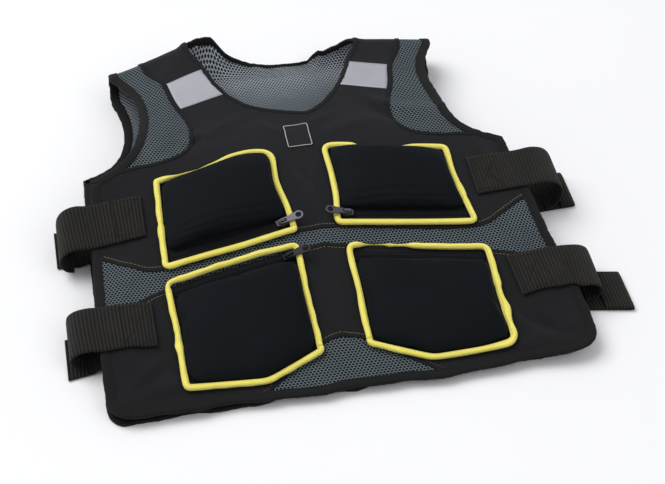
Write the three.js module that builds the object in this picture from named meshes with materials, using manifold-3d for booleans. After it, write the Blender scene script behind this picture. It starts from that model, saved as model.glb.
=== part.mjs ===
// A weighted training vest that lies on its back with its front up, in millimetres, +Z up.
// +X is to the right of someone who looks down on the front with the hem towards them.
// +Y runs from the hem to the shoulders.
// The cloth is cut flat, as on a cutting table, and then laid over the form of the lying vest.
// A place in the flat pattern is (across, along).
// along runs from the front hem over the shoulder to the back hem.
import * as THREE from "three";
import { mergeVertices } from "three/addons/utils/BufferGeometryUtils.js";
import Module from "manifold-3d";

const wasm = await Module();
wasm.setup();

// Body of the vest
const BODY_LENGTH = 432; // front hem to the shoulder fold beside the neck
const HEM_HALF = 210; // centre line to the side edge at the hem
const UNDERARM_HALF = 199; // centre line to the underarm corner of the front
const BACK_UNDERARM_HALF = 206;
const SHOULDER_HALF = 168; // centre line to the tip of the shoulder
const SHOULDER_DROP = 15; // how much lower the fold lies at the tip than beside the neck
const ARM_NARROW_HALF = 145; // centre line to the armhole where the chest is narrowest
const BACK_NARROW_HALF = 160;
const ARM_DEPTH = 159; // shoulder tip down to the underarm corner of the front
const BACK_ARM_DEPTH = 112;
const NECK_HALF = 89;
const NECK_DEPTH = 106; // shoulder fold down to the lowest point of the front neckline
const BACK_DROP_LEFT = 1; // how far the back hem lies past the front hem
const BACK_DROP_RIGHT = -12;
const HEM_CORNER = 20;
const CHEST_RISE = 42; // inner face of the front above the floor at the chest
const TURN = 60; // cloth that the turn over the shoulder takes up
const COLLAR_DIP = 2; // how much lower the back neckline lies in the middle
const COLLAR_SHARE = 0.35; // how much of the shoulder's rise the middle of the back collar has

// Cloth, tape and clearances
const CLOTH = 2.4;
const BINDING_WIDTH = 9;
const NECK_BINDING_WIDTH = 5.5;
const BINDING_PROUD = 0.6; // on the outer face
const BINDING_INSIDE = 0.8; // on the inner face
const GAP = 0.3;
const SEAM = 0.6; // between two panels of cloth

// Mesh panels
const ARM_MESH_WIDTH = 45;
const HEM_MESH_HALF = 82;
const HEM_MESH_RISE = 56;

// Pockets
const POCKET_WIDTH = 126;
const UPPER_POCKET_HEIGHT = 104;
const LOWER_POCKET_HEIGHT = 122;
const POCKET_SPACING = 38; // between the inner edges of the left and right pockets
const UPPER_POCKET_UP = 170; // hem to the inner bottom corner
const LOWER_POCKET_UP = 40;
const POCKET_CORNER = 9;
const FILL_RISE = 18; // how far a filled pad stands up from the cloth
const FILL_SQUARE = 5; // exponents of the crown: how square its plan is, and how steep its shoulders
const FILL_STEEP = 0.55;
const PAD_EDGE = 3;
const PIPING_WIDTH = 7;
const PIPING_HEIGHT = 5.4;

// Zips
const ZIP_WIDTH = 11;
const ZIP_TAPE = 0.9;
const ZIP_COIL = 1.7;
const ZIP_COIL_WIDTH = 4;
const SLIDER_LENGTH = 10;
const SLIDER_WIDTH = 7.6;
const SLIDER_HEIGHT = 2.4;
const SLIDER_INSET = 5.5; // from the inner end of the zip to the middle of the slider
const BRIDGE_WIDTH = 2.2;
const BRIDGE_SPAN = 6.8;
const BRIDGE_BAR = 1;
const PULL_THICKNESS = 1.5;
const PULL_LENGTH = 22;
const PULL_RING = 4.4; // outer radius of the finger ring
const PULL_RIM = 1.5; // width of the ring
const PULL_EYE_LENGTH = 4.4;
const PULL_EYE_RIM = 1.1;
const PULL_EYE_PLAY = 0.5; // beside the bridge
const HINGE_CLEARANCE = 1.3; // from the hinge line to the slider and to the bridge
const PULL_REST_TILT = 9; // degrees above the zip, so that the pull lies on the piping

// Webbing straps
const STRAP_WIDTH = 46;
const STRAP_THICKNESS = 2;
const UPPER_STRAP_START = 156; // centre line to the sewn end on the front
const LOWER_STRAP_START = 161;
const LEFT_LOOP_REACH = 235; // centre line to the outermost point of a loop
const RIGHT_LOOP_REACH = 242;
const STRAP_SEAM = 22; // overlap of a back strap on the back panel
const UPPER_STRAP_UP = 210;
const LOWER_STRAP_UP = 88;
const LEFT_TAB_REACH = LEFT_LOOP_REACH + 6;
const UPPER_RIGHT_TAB_REACH = 259;
const LOWER_RIGHT_TAB_REACH = 271;

// Trim
const REFLECTIVE_LENGTH = 41;
const REFLECTIVE_DOWN = 55; // shoulder fold down to the middle of the patch
const REFLECTIVE_THICKNESS = 0.8;
const REFLECTIVE_MARGIN = 3; // from the seam of the arm mesh
const REFLECTIVE_TILT = 20; // degrees that the patch turns with the shoulder strap
const LABEL_WIDTH = 25;
const LABEL_HEIGHT = 32;
const LABEL_ACROSS = 3;
const LABEL_DOWN = 34; // lowest point of the neckline down to the middle of the label
const LABEL_THICKNESS = 0.9;

// Height of the front above the floor: up is a share of BODY_LENGTH, rise one of CHEST_RISE.
const FRONT_RISE = [
  { up: 0, rise: 0.15 },
  { up: 0.058, rise: 0.17 },
  { up: 0.139, rise: 0.26 },
  { up: 0.255, rise: 0.46 },
  { up: 0.37, rise: 0.67 },
  { up: 0.475, rise: 0.83 },
  { up: 0.579, rise: 0.95 },
  { up: 0.671, rise: 1 },
  { up: 0.787, rise: 0.9 },
  { up: 0.926, rise: 0.84 },
  { up: 1, rise: 0.86 },
];

// Local rises and dips of the front: across and reach are shares of HEM_HALF,
// up of BODY_LENGTH and rise of CHEST_RISE.
const FRONT_FOLDS = [
  { across: -0.41, up: 0.98, rise: 0.15, reach: 0.28 },
  { across: -0.8, up: 0.96, rise: -0.12, reach: 0.26 },
  { across: 0.41, up: 0.98, rise: -0.06, reach: 0.25 },
  { across: 1.05, up: 0, rise: 0.13, reach: 0.28 },
  { across: -1, up: 0.39, rise: -0.16, reach: 0.26 },
  { across: 1, up: 0.4, rise: 0.06, reach: 0.25 },
  { across: -0.95, up: 0.18, rise: 0.2, reach: 0.32 },
  { across: 0.95, up: 0.18, rise: 0.2, reach: 0.32 },
  { across: -0.75, up: 0.72, rise: 0.1, reach: 0.25 },
  { across: 0, up: 0.62, rise: -0.07, reach: 0.26 },
];

// Shifts of the front within its own plane: all shares of HEM_HALF, but up of BODY_LENGTH.
const FRONT_SHIFTS = [
  { across: 0.76, up: 0.78, right: 0.045, ahead: 0, reach: 0.2 },
  { across: -0.42, up: 1, right: 0.026, ahead: 0.03, reach: 0.24 },
  { across: 0.6, up: 1, right: 0, ahead: 0.016, reach: 0.35 },
  { across: 1, up: 0.06, right: 0.055, ahead: 0.03, reach: 0.38 },
];

// Side edge from hem to underarm: up is a share of the way, inward one of the taper.
const SIDE_EDGE = [
  { up: 0.2, inward: 0.02 },
  { up: 0.45, inward: 0.1 },
  { up: 0.75, inward: 0.4 },
  { up: 1, inward: 1 },
];

// Armhole from the shoulder tip to the underarm: down is a share of the depth,
// tip and out are shares of the way from the narrowest half to the tip and to the underarm.
const ARMHOLE = [
  { down: 0, tip: 1, out: 0 },
  { down: 0.13, tip: 0.5, out: 0 },
  { down: 0.26, tip: 0.14, out: 0 },
  { down: 0.41, tip: 0, out: 0 },
  { down: 0.575, tip: 0, out: 0.04 },
  { down: 0.74, tip: 0, out: 0.17 },
  { down: 0.85, tip: 0, out: 0.35 },
  { down: 0.93, tip: 0, out: 0.61 },
  { down: 1, tip: 0, out: 1 },
];

// Front neckline from the shoulder fold to the centre: across is a share of NECK_HALF,
// left and right are shares of NECK_DEPTH on each side. The left side is pulled up a little.
const NECKLINE = [
  { across: 1, left: 0, right: 0 },
  { across: 0.86, left: 0.22, right: 0.2 },
  { across: 0.7, left: 0.5, right: 0.5 },
  { across: 0.53, left: 0.7, right: 0.73 },
  { across: 0.36, left: 0.82, right: 0.89 },
  { across: 0.2, left: 0.88, right: 0.97 },
  { across: 0, left: 0.935, right: 0.935 },
];

// Seam of the arm mesh: down is a share of ARM_DEPTH, inward one of ARM_MESH_WIDTH,
// out one of the way from the narrowest half to the underarm.
const ARM_SEAM = [
  { down: -0.45, inward: 0.2, out: 0 },
  { down: 0, inward: 0.27, out: 0 },
  { down: 0.15, inward: 0.58, out: 0 },
  { down: 0.36, inward: 0.78, out: 0 },
  { down: 0.55, inward: 1, out: 0 },
  { down: 0.68, inward: 1.04, out: 0 },
  { down: 0.82, inward: 0.91, out: 0 },
  { down: 0.88, inward: 0.66, out: 0 },
  { down: 0.925, inward: 0.2, out: 0 },
  { down: 0.945, inward: 0, out: 0.26 },
  { down: 0.975, inward: 0, out: 0.72 },
  { down: 1.03, inward: 0, out: 1.5 },
];

// Seams above and below the mesh band: across is a share of HEM_HALF,
// left and right are the heights on each side as shares of BODY_LENGTH.
const BAND_TOP = [
  { across: 0, left: 0.398, right: 0.398 },
  { across: 0.1, left: 0.394, right: 0.396 },
  { across: 0.72, left: 0.34, right: 0.352 },
  { across: 0.81, left: 0.354, right: 0.372 },
  { across: 0.93, left: 0.39, right: 0.405 },
  { across: 1.12, left: 0.42, right: 0.44 },
];
const BAND_BOTTOM = [
  { across: 0, left: 0.36, right: 0.36 },
  { across: 0.1, left: 0.353, right: 0.352 },
  { across: 0.72, left: 0.286, right: 0.284 },
  { across: 0.8, left: 0.268, right: 0.268 },
  { across: 0.89, left: 0.25, right: 0.252 },
  { across: 1.12, left: 0.22, right: 0.235 },
];

// Seam of the mesh at the hem, from its apex: shares of HEM_MESH_HALF and HEM_MESH_RISE.
const HEM_SEAM = [
  { across: 0, up: 1 },
  { across: 0.15, up: 0.96 },
  { across: 0.33, up: 0.8 },
  { across: 0.66, up: 0.42 },
  { across: 1.1, up: -0.1 },
];

// Pockets, each with its corners from the inner bottom one outwards,
// as shares of POCKET_WIDTH and of its height.
const POCKETS = [
  {
    name: "upper_left",
    side: -1,
    up: UPPER_POCKET_UP,
    height: UPPER_POCKET_HEIGHT,
    zip: "bottom",
    slider: true,
    corners: [
      { across: 0, up: 0 },
      { across: 1.01, up: -0.25 },
      { across: 0.98, up: 0.75 },
      { across: 0.05, up: 1.03 },
    ],
  },
  {
    name: "upper_right",
    side: 1,
    up: UPPER_POCKET_UP,
    height: UPPER_POCKET_HEIGHT,
    zip: "bottom",
    slider: true,
    corners: [
      { across: -0.02, up: 0.02 },
      { across: 1.03, up: -0.17 },
      { across: 0.975, up: 0.78 },
      { across: 0.02, up: 1.01 },
    ],
  },
  {
    name: "lower_left",
    side: -1,
    up: LOWER_POCKET_UP,
    height: LOWER_POCKET_HEIGHT,
    zip: "top",
    slider: true,
    corners: [
      { across: 0, up: 0 },
      { across: 0.42, up: -0.21 },
      { across: 1, up: -0.18 },
      { across: 1.02, up: 0.755 },
      { across: 0.01, up: 0.975 },
    ],
  },
  {
    name: "lower_right",
    side: 1,
    up: LOWER_POCKET_UP,
    height: LOWER_POCKET_HEIGHT,
    zip: "top",
    slider: false,
    corners: [
      { across: 0, up: 0.01 },
      { across: 0.42, up: -0.2 },
      { across: 1, up: -0.2 },
      { across: 1.045, up: 0.72 },
      { across: 0.01, up: 0.92 },
    ],
  },
];

// Straps: each slant is how far the loop or the tab lies up from its sewn end, as a share of STRAP_WIDTH.
const STRAPS = [
  {
    name: "upper_left",
    side: -1,
    up: UPPER_STRAP_UP,
    start: UPPER_STRAP_START,
    loopReach: LEFT_LOOP_REACH,
    tabReach: LEFT_TAB_REACH,
    loopSlant: -0.14,
    tabSlant: 0.1,
  },
  {
    name: "upper_right",
    side: 1,
    up: UPPER_STRAP_UP,
    start: UPPER_STRAP_START,
    loopReach: RIGHT_LOOP_REACH,
    tabReach: UPPER_RIGHT_TAB_REACH,
    loopSlant: 0.06,
    tabSlant: 0.1,
  },
  {
    name: "lower_left",
    side: -1,
    up: LOWER_STRAP_UP,
    start: LOWER_STRAP_START,
    loopReach: LEFT_LOOP_REACH,
    tabReach: LEFT_TAB_REACH,
    loopSlant: 0,
    tabSlant: -0.2,
  },
  {
    name: "lower_right",
    side: 1,
    up: LOWER_STRAP_UP,
    start: LOWER_STRAP_START,
    loopReach: RIGHT_LOOP_REACH,
    tabReach: LOWER_RIGHT_TAB_REACH,
    loopSlant: 0.04,
    tabSlant: -0.3,
  },
];

// Steps of the cloth's own mesh, and the slight dome that keeps that mesh through the cuts
const STEP_ACROSS = 25;
const STEP_FRONT = 25;
const STEP_TURN = 9;
const STEP_BACK = 60;
const DOME = 6000;
const MARGIN = 24; // cloth around the outline, cut away
const TALL = 1000; // half height of a cutter
const MITRE = 0.35; // least cosine of half a turn in an inset outline

const material = (color, roughness, metalness = 0) =>
  new THREE.MeshStandardMaterial({ color, roughness, metalness });
const WOVEN = material(0x26272b, 0.85);
const MESH = material(0x56666c, 0.9);
const TAPE = material(0x17171a, 0.8);
const NEOPRENE = material(0x10141a, 0.9);
const PIPING = material(0xf1e34c, 0.6);
const WEBBING = material(0x262522, 0.85);
const REFLECTIVE = material(0xb6b6bc, 0.4);
const LABEL = material(0x1a1a1c, 0.7);
const ZIP = material(0x141416, 0.6);
const PULL_METAL = material(0x55555c, 0.4, 0.8);

const group = new THREE.Group();
group.name = "weighted_vest";

function addMesh(name, geometry, look) {
  geometry.computeVertexNormals();
  const mesh = new THREE.Mesh(geometry, look);
  mesh.name = name;
  group.add(mesh);
  return mesh;
}

// Solids

function solidOf(geometry) {
  const bare = geometry.clone();
  bare.deleteAttribute("normal");
  bare.deleteAttribute("uv");
  const merged = mergeVertices(bare, 1e-4);
  return new wasm.Manifold(
    new wasm.Mesh({
      numProp: 3,
      vertProperties: merged.attributes.position.array,
      triVerts: new Uint32Array(merged.index.array),
    }),
  );
}

function geometryOf(solid, place) {
  const mesh = solid.getMesh();
  const positions = new Float32Array(mesh.numVert * 3);
  for (let i = 0; i < mesh.numVert; i++) {
    const start = i * mesh.numProp;
    const [x, y, z] = mesh.vertProperties.subarray(start, start + 3);
    place(x, y, z).toArray(positions, i * 3);
  }
  const geometry = new THREE.BufferGeometry();
  geometry.setAttribute("position", new THREE.BufferAttribute(positions, 3));
  geometry.setIndex(new THREE.BufferAttribute(new Uint32Array(mesh.triVerts), 1));
  return geometry;
}

// A closed solid between two grids of points, lower[i][j] and upper[i][j].
function gridSolid(lower, upper) {
  const rows = lower.length;
  const columns = lower[0].length;
  const positions = [...lower.flat(), ...upper.flat()].flatMap((p) => p.toArray());
  const index = [];
  const at = (layer, i, j) => layer * rows * columns + i * columns + j;
  const quad = (a, b, c, d) => index.push(a, b, c, a, c, d);
  for (let i = 0; i + 1 < rows; i++) {
    for (let j = 0; j + 1 < columns; j++) {
      quad(at(1, i, j), at(1, i, j + 1), at(1, i + 1, j + 1), at(1, i + 1, j));
      quad(at(0, i, j), at(0, i + 1, j), at(0, i + 1, j + 1), at(0, i, j + 1));
    }
  }
  for (let j = 0; j + 1 < columns; j++) {
    quad(at(0, 0, j), at(0, 0, j + 1), at(1, 0, j + 1), at(1, 0, j));
    const last = rows - 1;
    quad(at(0, last, j), at(1, last, j), at(1, last, j + 1), at(0, last, j + 1));
  }
  for (let i = 0; i + 1 < rows; i++) {
    quad(at(0, i, 0), at(1, i, 0), at(1, i + 1, 0), at(0, i + 1, 0));
    const last = columns - 1;
    quad(at(0, i, last), at(0, i + 1, last), at(1, i + 1, last), at(1, i, last));
  }
  return facingOut(positions, index);
}

// A closed ring swept through sections, each a list of points.
function ringSolid(sections) {
  const count = sections.length;
  const sides = sections[0].length;
  const positions = sections.flat().flatMap((p) => p.toArray());
  const index = [];
  for (let i = 0; i < count; i++) {
    const next = (i + 1) % count;
    for (let j = 0; j < sides; j++) {
      const side = (j + 1) % sides;
      const [a, b] = [i * sides + j, i * sides + side];
      const [c, d] = [next * sides + side, next * sides + j];
      index.push(a, b, c, a, c, d);
    }
  }
  return facingOut(positions, index);
}

function facingOut(positions, index) {
  const corner = (k) => new THREE.Vector3().fromArray(positions, index[k] * 3);
  let volume = 0;
  for (let k = 0; k < index.length; k += 3) {
    volume += corner(k).dot(corner(k + 1).cross(corner(k + 2)));
  }
  if (volume < 0) index.reverse();
  const geometry = new THREE.BufferGeometry();
  geometry.setAttribute("position", new THREE.Float32BufferAttribute(positions, 3));
  geometry.setIndex(index);
  return geometry;
}

// A smooth curve through the rows of a table, read at one value of its key.
function readTable(rows, key, value, at) {
  const last = rows.length - 1;
  const place = THREE.MathUtils.clamp(at, rows[0][key], rows[last][key]);
  const i = Math.min(rows.findLastIndex((row) => row[key] <= place), last - 1);
  const slope = (a, b) => (rows[b][value] - rows[a][value]) / (rows[b][key] - rows[a][key]);
  const from = i > 0 ? slope(i - 1, i + 1) : slope(0, 1);
  const to = i + 2 <= last ? slope(i, i + 2) : slope(i, i + 1);
  const width = rows[i + 1][key] - rows[i][key];
  const t = (place - rows[i][key]) / width;
  const h = t * t * (3 - 2 * t);
  const bend = width * t * (1 - t) * (from * (1 - t) - to * t);
  return rows[i][value] * (1 - h) + rows[i + 1][value] * h + bend;
}

const vec = (x, y) => new THREE.Vector2(x, y);
const smooth = (points, steps) =>
  new THREE.CatmullRomCurve3(points.map((p) => new THREE.Vector3(p.x, p.y, 0)))
    .getPoints(steps)
    .map((p) => vec(p.x, p.y));
const mirrored = (points) => points.map((p) => vec(-p.x, p.y)).reverse();
const moved = (points, x, y) => points.map((p) => vec(p.x + x, p.y + y));

// Form of the lying vest

// Shoulder fold: straight over the neck, falling from the neck point to the tip.
function foldLine(across) {
  const share = (Math.abs(across) - NECK_HALF) / (SHOULDER_HALF - NECK_HALF);
  return BODY_LENGTH - SHOULDER_DROP * THREE.MathUtils.clamp(share, 0, 1);
}

function frontRise(across, along) {
  let rise = readTable(FRONT_RISE, "up", "rise", along / BODY_LENGTH);
  for (const fold of FRONT_FOLDS) {
    const dx = across / HEM_HALF - fold.across;
    const dy = (along / BODY_LENGTH - fold.up) * (BODY_LENGTH / HEM_HALF);
    rise += fold.rise * Math.exp(-(dx * dx + dy * dy) / (fold.reach * fold.reach));
  }
  return rise * CHEST_RISE;
}

// How far the front is pulled sideways and ahead at a place in the pattern.
function frontShift(across, along) {
  const fold = foldLine(across);
  const shift = new THREE.Vector3();
  const share = 1 - THREE.MathUtils.smoothstep(along, fold, fold + TURN);
  for (const row of FRONT_SHIFTS) {
    const dx = across / HEM_HALF - row.across;
    const dy = (Math.min(along, fold) / BODY_LENGTH - row.up) * (BODY_LENGTH / HEM_HALF);
    const weight = share * Math.exp(-(dx * dx + dy * dy) / (row.reach * row.reach));
    shift.x += weight * row.right * HEM_HALF;
    shift.y += weight * row.ahead * HEM_HALF;
  }
  return shift;
}

// Inner face of the cloth at a place in the pattern.
function innerFace(across, along) {
  const fold = foldLine(across);
  const shift = frontShift(across, along);
  if (along <= fold) {
    return new THREE.Vector3(across, along, frontRise(across, along)).add(shift);
  }
  const radius = (frontRise(across, fold) - CLOTH) / 2;
  if (along >= fold + TURN) {
    return new THREE.Vector3(across, 2 * fold + TURN - along, CLOTH);
  }
  const angle = (Math.PI * (along - fold)) / TURN;
  const open = 2 - (2 * angle) / Math.PI; // 1 at the collar edge, 0 where the cloth reaches the floor
  const round = THREE.MathUtils.smoothstep(Math.abs(across), 0, NECK_HALF);
  const out = THREE.MathUtils.lerp(open, Math.sin(angle), round);
  const lift = THREE.MathUtils.lerp(COLLAR_SHARE * open * open, 1 + Math.cos(angle), round);
  return new THREE.Vector3(across, fold + radius * out, CLOTH + radius * lift).add(shift);
}

// A point at a height over the inner face. What stands proud of the outer face sinks flush on the back.
function drape(across, along, height) {
  const probe = 0.5;
  const dx = innerFace(across + probe, along).sub(innerFace(across - probe, along));
  const dy = innerFace(across, along + probe).sub(innerFace(across, along - probe));
  const normal = dx.cross(dy).normalize();
  const fold = foldLine(across);
  const flush = THREE.MathUtils.smoothstep(along, fold + TURN * 0.4, fold + TURN * 0.9);
  const over = Math.max(height - CLOTH, 0) * (1 - flush);
  return innerFace(across, along).addScaledVector(normal, Math.min(height, CLOTH) + over);
}

// Where a place on the back lies along the pattern, by its distance up from the hem line.
const patternAlong = (across, up) => 2 * foldLine(across) + TURN - up;

// Cutting the flat pattern

const dome = (across, along) => (across * across + along * along) / DOME;

function clothSlab(low, high) {
  const half = HEM_HALF + MARGIN;
  const columns = Math.ceil((2 * half) / STEP_ACROSS);
  const xs = Array.from({ length: columns + 1 }, (_, i) => -half + (2 * half * i) / columns);
  const turnStart = BODY_LENGTH - SHOULDER_DROP;
  const turnEnd = BODY_LENGTH + TURN;
  const end = 2 * BODY_LENGTH + TURN + MARGIN;
  const ys = [];
  const spread = (from, to, step) => {
    const count = Math.ceil((to - from) / step);
    for (let i = 0; i < count; i++) ys.push(from + ((to - from) * i) / count);
  };
  spread(-MARGIN, turnStart, STEP_FRONT);
  spread(turnStart, turnEnd, STEP_TURN);
  spread(turnEnd, end, STEP_BACK);
  ys.push(end);
  const layer = (height) =>
    ys.map((y) => xs.map((x) => new THREE.Vector3(x, y, height + dome(x, y))));
  return solidOf(gridSolid(layer(low), layer(high)));
}

function cutter(points) {
  const geometry = new THREE.ExtrudeGeometry(new THREE.Shape(points), {
    depth: 2 * TALL,
    bevelEnabled: false,
  });
  geometry.translate(0, 0, -TALL);
  return solidOf(geometry);
}

const draped = (solid) =>
  geometryOf(solid, (x, y, z) => drape(x, y, z - dome(x, y)));

// The outline moved inwards by a distance, or outwards where it is negative, with mitred corners.
function inset(points, distance) {
  const count = points.length;
  const turnSign = Math.sign(THREE.ShapeUtils.area(points));
  return points.map((point, i) => {
    const before = point.clone().sub(points[(i + count - 1) % count]).normalize();
    const after = points[(i + 1) % count].clone().sub(point).normalize();
    const normal = vec(-before.y - after.y, before.x + after.x).normalize();
    const cosine = Math.max(MITRE, normal.dot(vec(-before.y, before.x)));
    return point.clone().addScaledVector(normal, (turnSign * distance) / cosine);
  });
}

// Outline corners rounded by arcs of a radius.
function roundCorners(corners, radius, steps = 3) {
  const count = corners.length;
  return corners.flatMap((corner, i) => {
    const back = corners[(i + count - 1) % count].clone().sub(corner);
    const ahead = corners[(i + 1) % count].clone().sub(corner);
    const half = Math.acos(back.clone().normalize().dot(ahead.clone().normalize())) / 2;
    const cut = Math.min(radius / Math.tan(half), back.length() * 0.4, ahead.length() * 0.4);
    const from = corner.clone().add(back.setLength(cut));
    const to = corner.clone().add(ahead.setLength(cut));
    return new THREE.QuadraticBezierCurve(from, corner, to).getPoints(steps);
  });
}

function armholeEdge(narrow, tip, underarm, depth) {
  const rows = ARMHOLE.map((row) =>
    vec(
      narrow + row.tip * (tip - narrow) + row.out * (underarm - narrow),
      BODY_LENGTH - SHOULDER_DROP - row.down * depth,
    ),
  );
  return smooth(rows, 18);
}

function sideEdge(underarm, depth) {
  const length = BODY_LENGTH - SHOULDER_DROP - depth;
  return SIDE_EDGE.map((row) => vec(HEM_HALF - row.inward * (HEM_HALF - underarm), row.up * length));
}

// Half of the whole outline, from the front hem over the shoulder to the back hem, drawn on the right.
function halfEdge(backDrop) {
  const middleDrop = (BACK_DROP_LEFT + BACK_DROP_RIGHT) / 2;
  const drop = (x) => THREE.MathUtils.lerp(middleDrop, backDrop, Math.min(x / HEM_HALF, 1));
  const corner = new THREE.QuadraticBezierCurve(
    vec(HEM_HALF - HEM_CORNER, 0),
    vec(HEM_HALF, 0),
    vec(HEM_HALF, HEM_CORNER),
  ).getPoints(4);
  const front = [
    ...corner,
    ...sideEdge(UNDERARM_HALF, ARM_DEPTH),
    ...armholeEdge(ARM_NARROW_HALF, SHOULDER_HALF, UNDERARM_HALF, ARM_DEPTH).reverse().slice(1),
  ];
  const onBack = [
    vec(NECK_HALF, -drop(NECK_HALF)),
    vec(SHOULDER_HALF, -drop(SHOULDER_HALF)),
    ...corner.map((p) => vec(p.x, p.y - drop(p.x))),
    ...sideEdge(BACK_UNDERARM_HALF, BACK_ARM_DEPTH),
    ...armholeEdge(BACK_NARROW_HALF, SHOULDER_HALF, BACK_UNDERARM_HALF, BACK_ARM_DEPTH)
      .reverse()
      .slice(1),
  ];
  const back = onBack.reverse().map((p) => vec(p.x, patternAlong(p.x, p.y)));
  return [...front, ...back];
}

function neckOutline() {
  const down = (side) =>
    smooth(
      NECKLINE.map((row) => vec(row.across * NECK_HALF, BODY_LENGTH - row[side] * NECK_DEPTH)),
      10,
    ).reverse();
  const collar = BODY_LENGTH + TURN / 2;
  const corner = new THREE.QuadraticBezierCurve(
    vec(NECK_HALF, collar - TURN / 4),
    vec(NECK_HALF, collar),
    vec(NECK_HALF * 0.7, collar),
  ).getPoints(4);
  const middle = new THREE.QuadraticBezierCurve(
    corner.at(-1),
    vec(NECK_HALF * 0.35, collar + COLLAR_DIP),
    vec(0, collar + COLLAR_DIP),
  ).getPoints(6);
  const edge = (side) => [...down(side), ...corner, ...middle.slice(1)];
  return [...edge("right"), ...mirrored(edge("left")).slice(1, -1)];
}

const outline = [...halfEdge(BACK_DROP_RIGHT), ...mirrored(halfEdge(BACK_DROP_LEFT))];
const neck = neckOutline();

function armSeam() {
  const rows = ARM_SEAM.map((row) =>
    vec(
      ARM_NARROW_HALF - row.inward * ARM_MESH_WIDTH + row.out * (UNDERARM_HALF - ARM_NARROW_HALF),
      BODY_LENGTH - SHOULDER_DROP - row.down * ARM_DEPTH,
    ),
  );
  return smooth(rows, 26);
}

function bandSeam(rows) {
  const curve = (side) =>
    smooth(rows.map((row) => vec(row.across * HEM_HALF, row[side] * BODY_LENGTH)), 14);
  return [...mirrored(curve("left")), ...curve("right").slice(1)];
}

function hemSeam() {
  const curve = smooth(
    HEM_SEAM.map((row) => vec(row.across * HEM_MESH_HALF, row.up * HEM_MESH_RISE)),
    10,
  );
  return [...mirrored(curve), ...curve.slice(1)];
}

// Cloth panels and bindings

const half = SEAM / 2;
const shoulderSeam = BODY_LENGTH - SHOULDER_DROP / 2 + TURN / 2;
const wide = HEM_HALF + 2 * MARGIN;
const bandTop = bandSeam(BAND_TOP);
const bandBottom = bandSeam(BAND_BOTTOM);
const seamRight = armSeam();

function clothSolid() {
  const inner = cutter(inset(outline, BINDING_WIDTH + SEAM));
  const hole = cutter(inset(neck, -NECK_BINDING_WIDTH - SEAM));
  return clothSlab(0, CLOTH).intersect(inner).subtract(hole);
}

function addPanels() {
  const cloth = clothSolid();
  const armRegion = [
    ...moved(seamRight, half, 0),
    vec(wide, seamRight.at(-1).y),
    vec(wide, shoulderSeam - half),
    vec(seamRight[0].x, shoulderSeam - half),
  ].filter((p) => p.y <= shoulderSeam);
  const armLeftRegion = mirrored(armRegion);
  const yokeSide = moved(seamRight, -half, -half)
    .filter((p) => p.y < shoulderSeam - half)
    .reverse();
  const yokeArm = [vec(wide, yokeSide[0].y), ...yokeSide, vec(yokeSide.at(-1).x, shoulderSeam - half)];
  const yokeRegion = [
    ...moved(bandTop, 0, half),
    vec(wide, bandTop.at(-1).y),
    ...yokeArm,
    ...mirrored(yokeArm),
    vec(-wide, bandTop[0].y),
  ];
  const bandRegion = [
    ...moved(bandBottom, 0, half),
    vec(wide, bandBottom.at(-1).y),
    vec(wide, bandTop.at(-1).y),
    ...moved(bandTop, 0, -half).reverse(),
    vec(-wide, bandTop[0].y),
    vec(-wide, bandBottom[0].y),
  ];
  const skirtRegion = [
    ...moved(bandBottom, 0, -half),
    vec(wide, bandBottom.at(-1).y),
    vec(wide, -MARGIN),
    vec(-wide, -MARGIN),
    vec(-wide, bandBottom[0].y),
  ];
  const hemPanel = hemSeam();
  const hemCut = moved(hemPanel, 0, half);
  const hemPiece = moved(hemPanel, 0, -half);
  const backRegion = [
    vec(-wide, shoulderSeam + half),
    vec(wide, shoulderSeam + half),
    vec(wide, 2 * BODY_LENGTH + 2 * TURN),
    vec(-wide, 2 * BODY_LENGTH + 2 * TURN),
  ];
  const cut = (region) => cloth.intersect(cutter(region));
  addMesh("front_yoke", draped(cut(yokeRegion)), WOVEN);
  addMesh("front_skirt", draped(cut(skirtRegion).subtract(cutter(hemCut))), WOVEN);
  addMesh("front_band_mesh", draped(cut(bandRegion)), MESH);
  addMesh("front_hem_mesh", draped(cut(hemPiece)), MESH);
  addMesh("arm_mesh_right", draped(cut(armRegion)), MESH);
  addMesh("arm_mesh_left", draped(cut(armLeftRegion)), MESH);
  addMesh("back_panel", draped(cut(backRegion)), MESH);
}

function addBindings() {
  const slab = clothSlab(-BINDING_INSIDE, CLOTH + BINDING_PROUD);
  const ring = slab.intersect(cutter(outline)).subtract(cutter(inset(outline, BINDING_WIDTH)));
  const frontCorner = BODY_LENGTH - SHOULDER_DROP - ARM_DEPTH;
  const backCorner = patternAlong(wide, BODY_LENGTH - SHOULDER_DROP - BACK_ARM_DEPTH);
  const box = (x0, x1, y0, y1) =>
    cutter([vec(x0, y0), vec(x1, y0), vec(x1, y1), vec(x0, y1)]);
  const end = 2 * BODY_LENGTH + 2 * TURN;
  const front = ring.intersect(box(-wide, wide, -MARGIN, frontCorner - half));
  const back = ring.intersect(box(-wide, wide, backCorner + half, end));
  const arms = [frontCorner + half, backCorner - half];
  addMesh("hem_binding_front", draped(front), TAPE);
  addMesh("hem_binding_back", draped(back), TAPE);
  addMesh("arm_binding_right", draped(ring.intersect(box(0, wide, ...arms))), TAPE);
  addMesh("arm_binding_left", draped(ring.intersect(box(-wide, 0, ...arms))), TAPE);
  const around = cutter(inset(neck, -NECK_BINDING_WIDTH));
  const neckRing = slab.intersect(around).subtract(cutter(neck));
  addMesh("neck_binding", draped(neckRing), TAPE);
}

// Pieces laid on the cloth

const SEAT = CLOTH + GAP;

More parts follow.
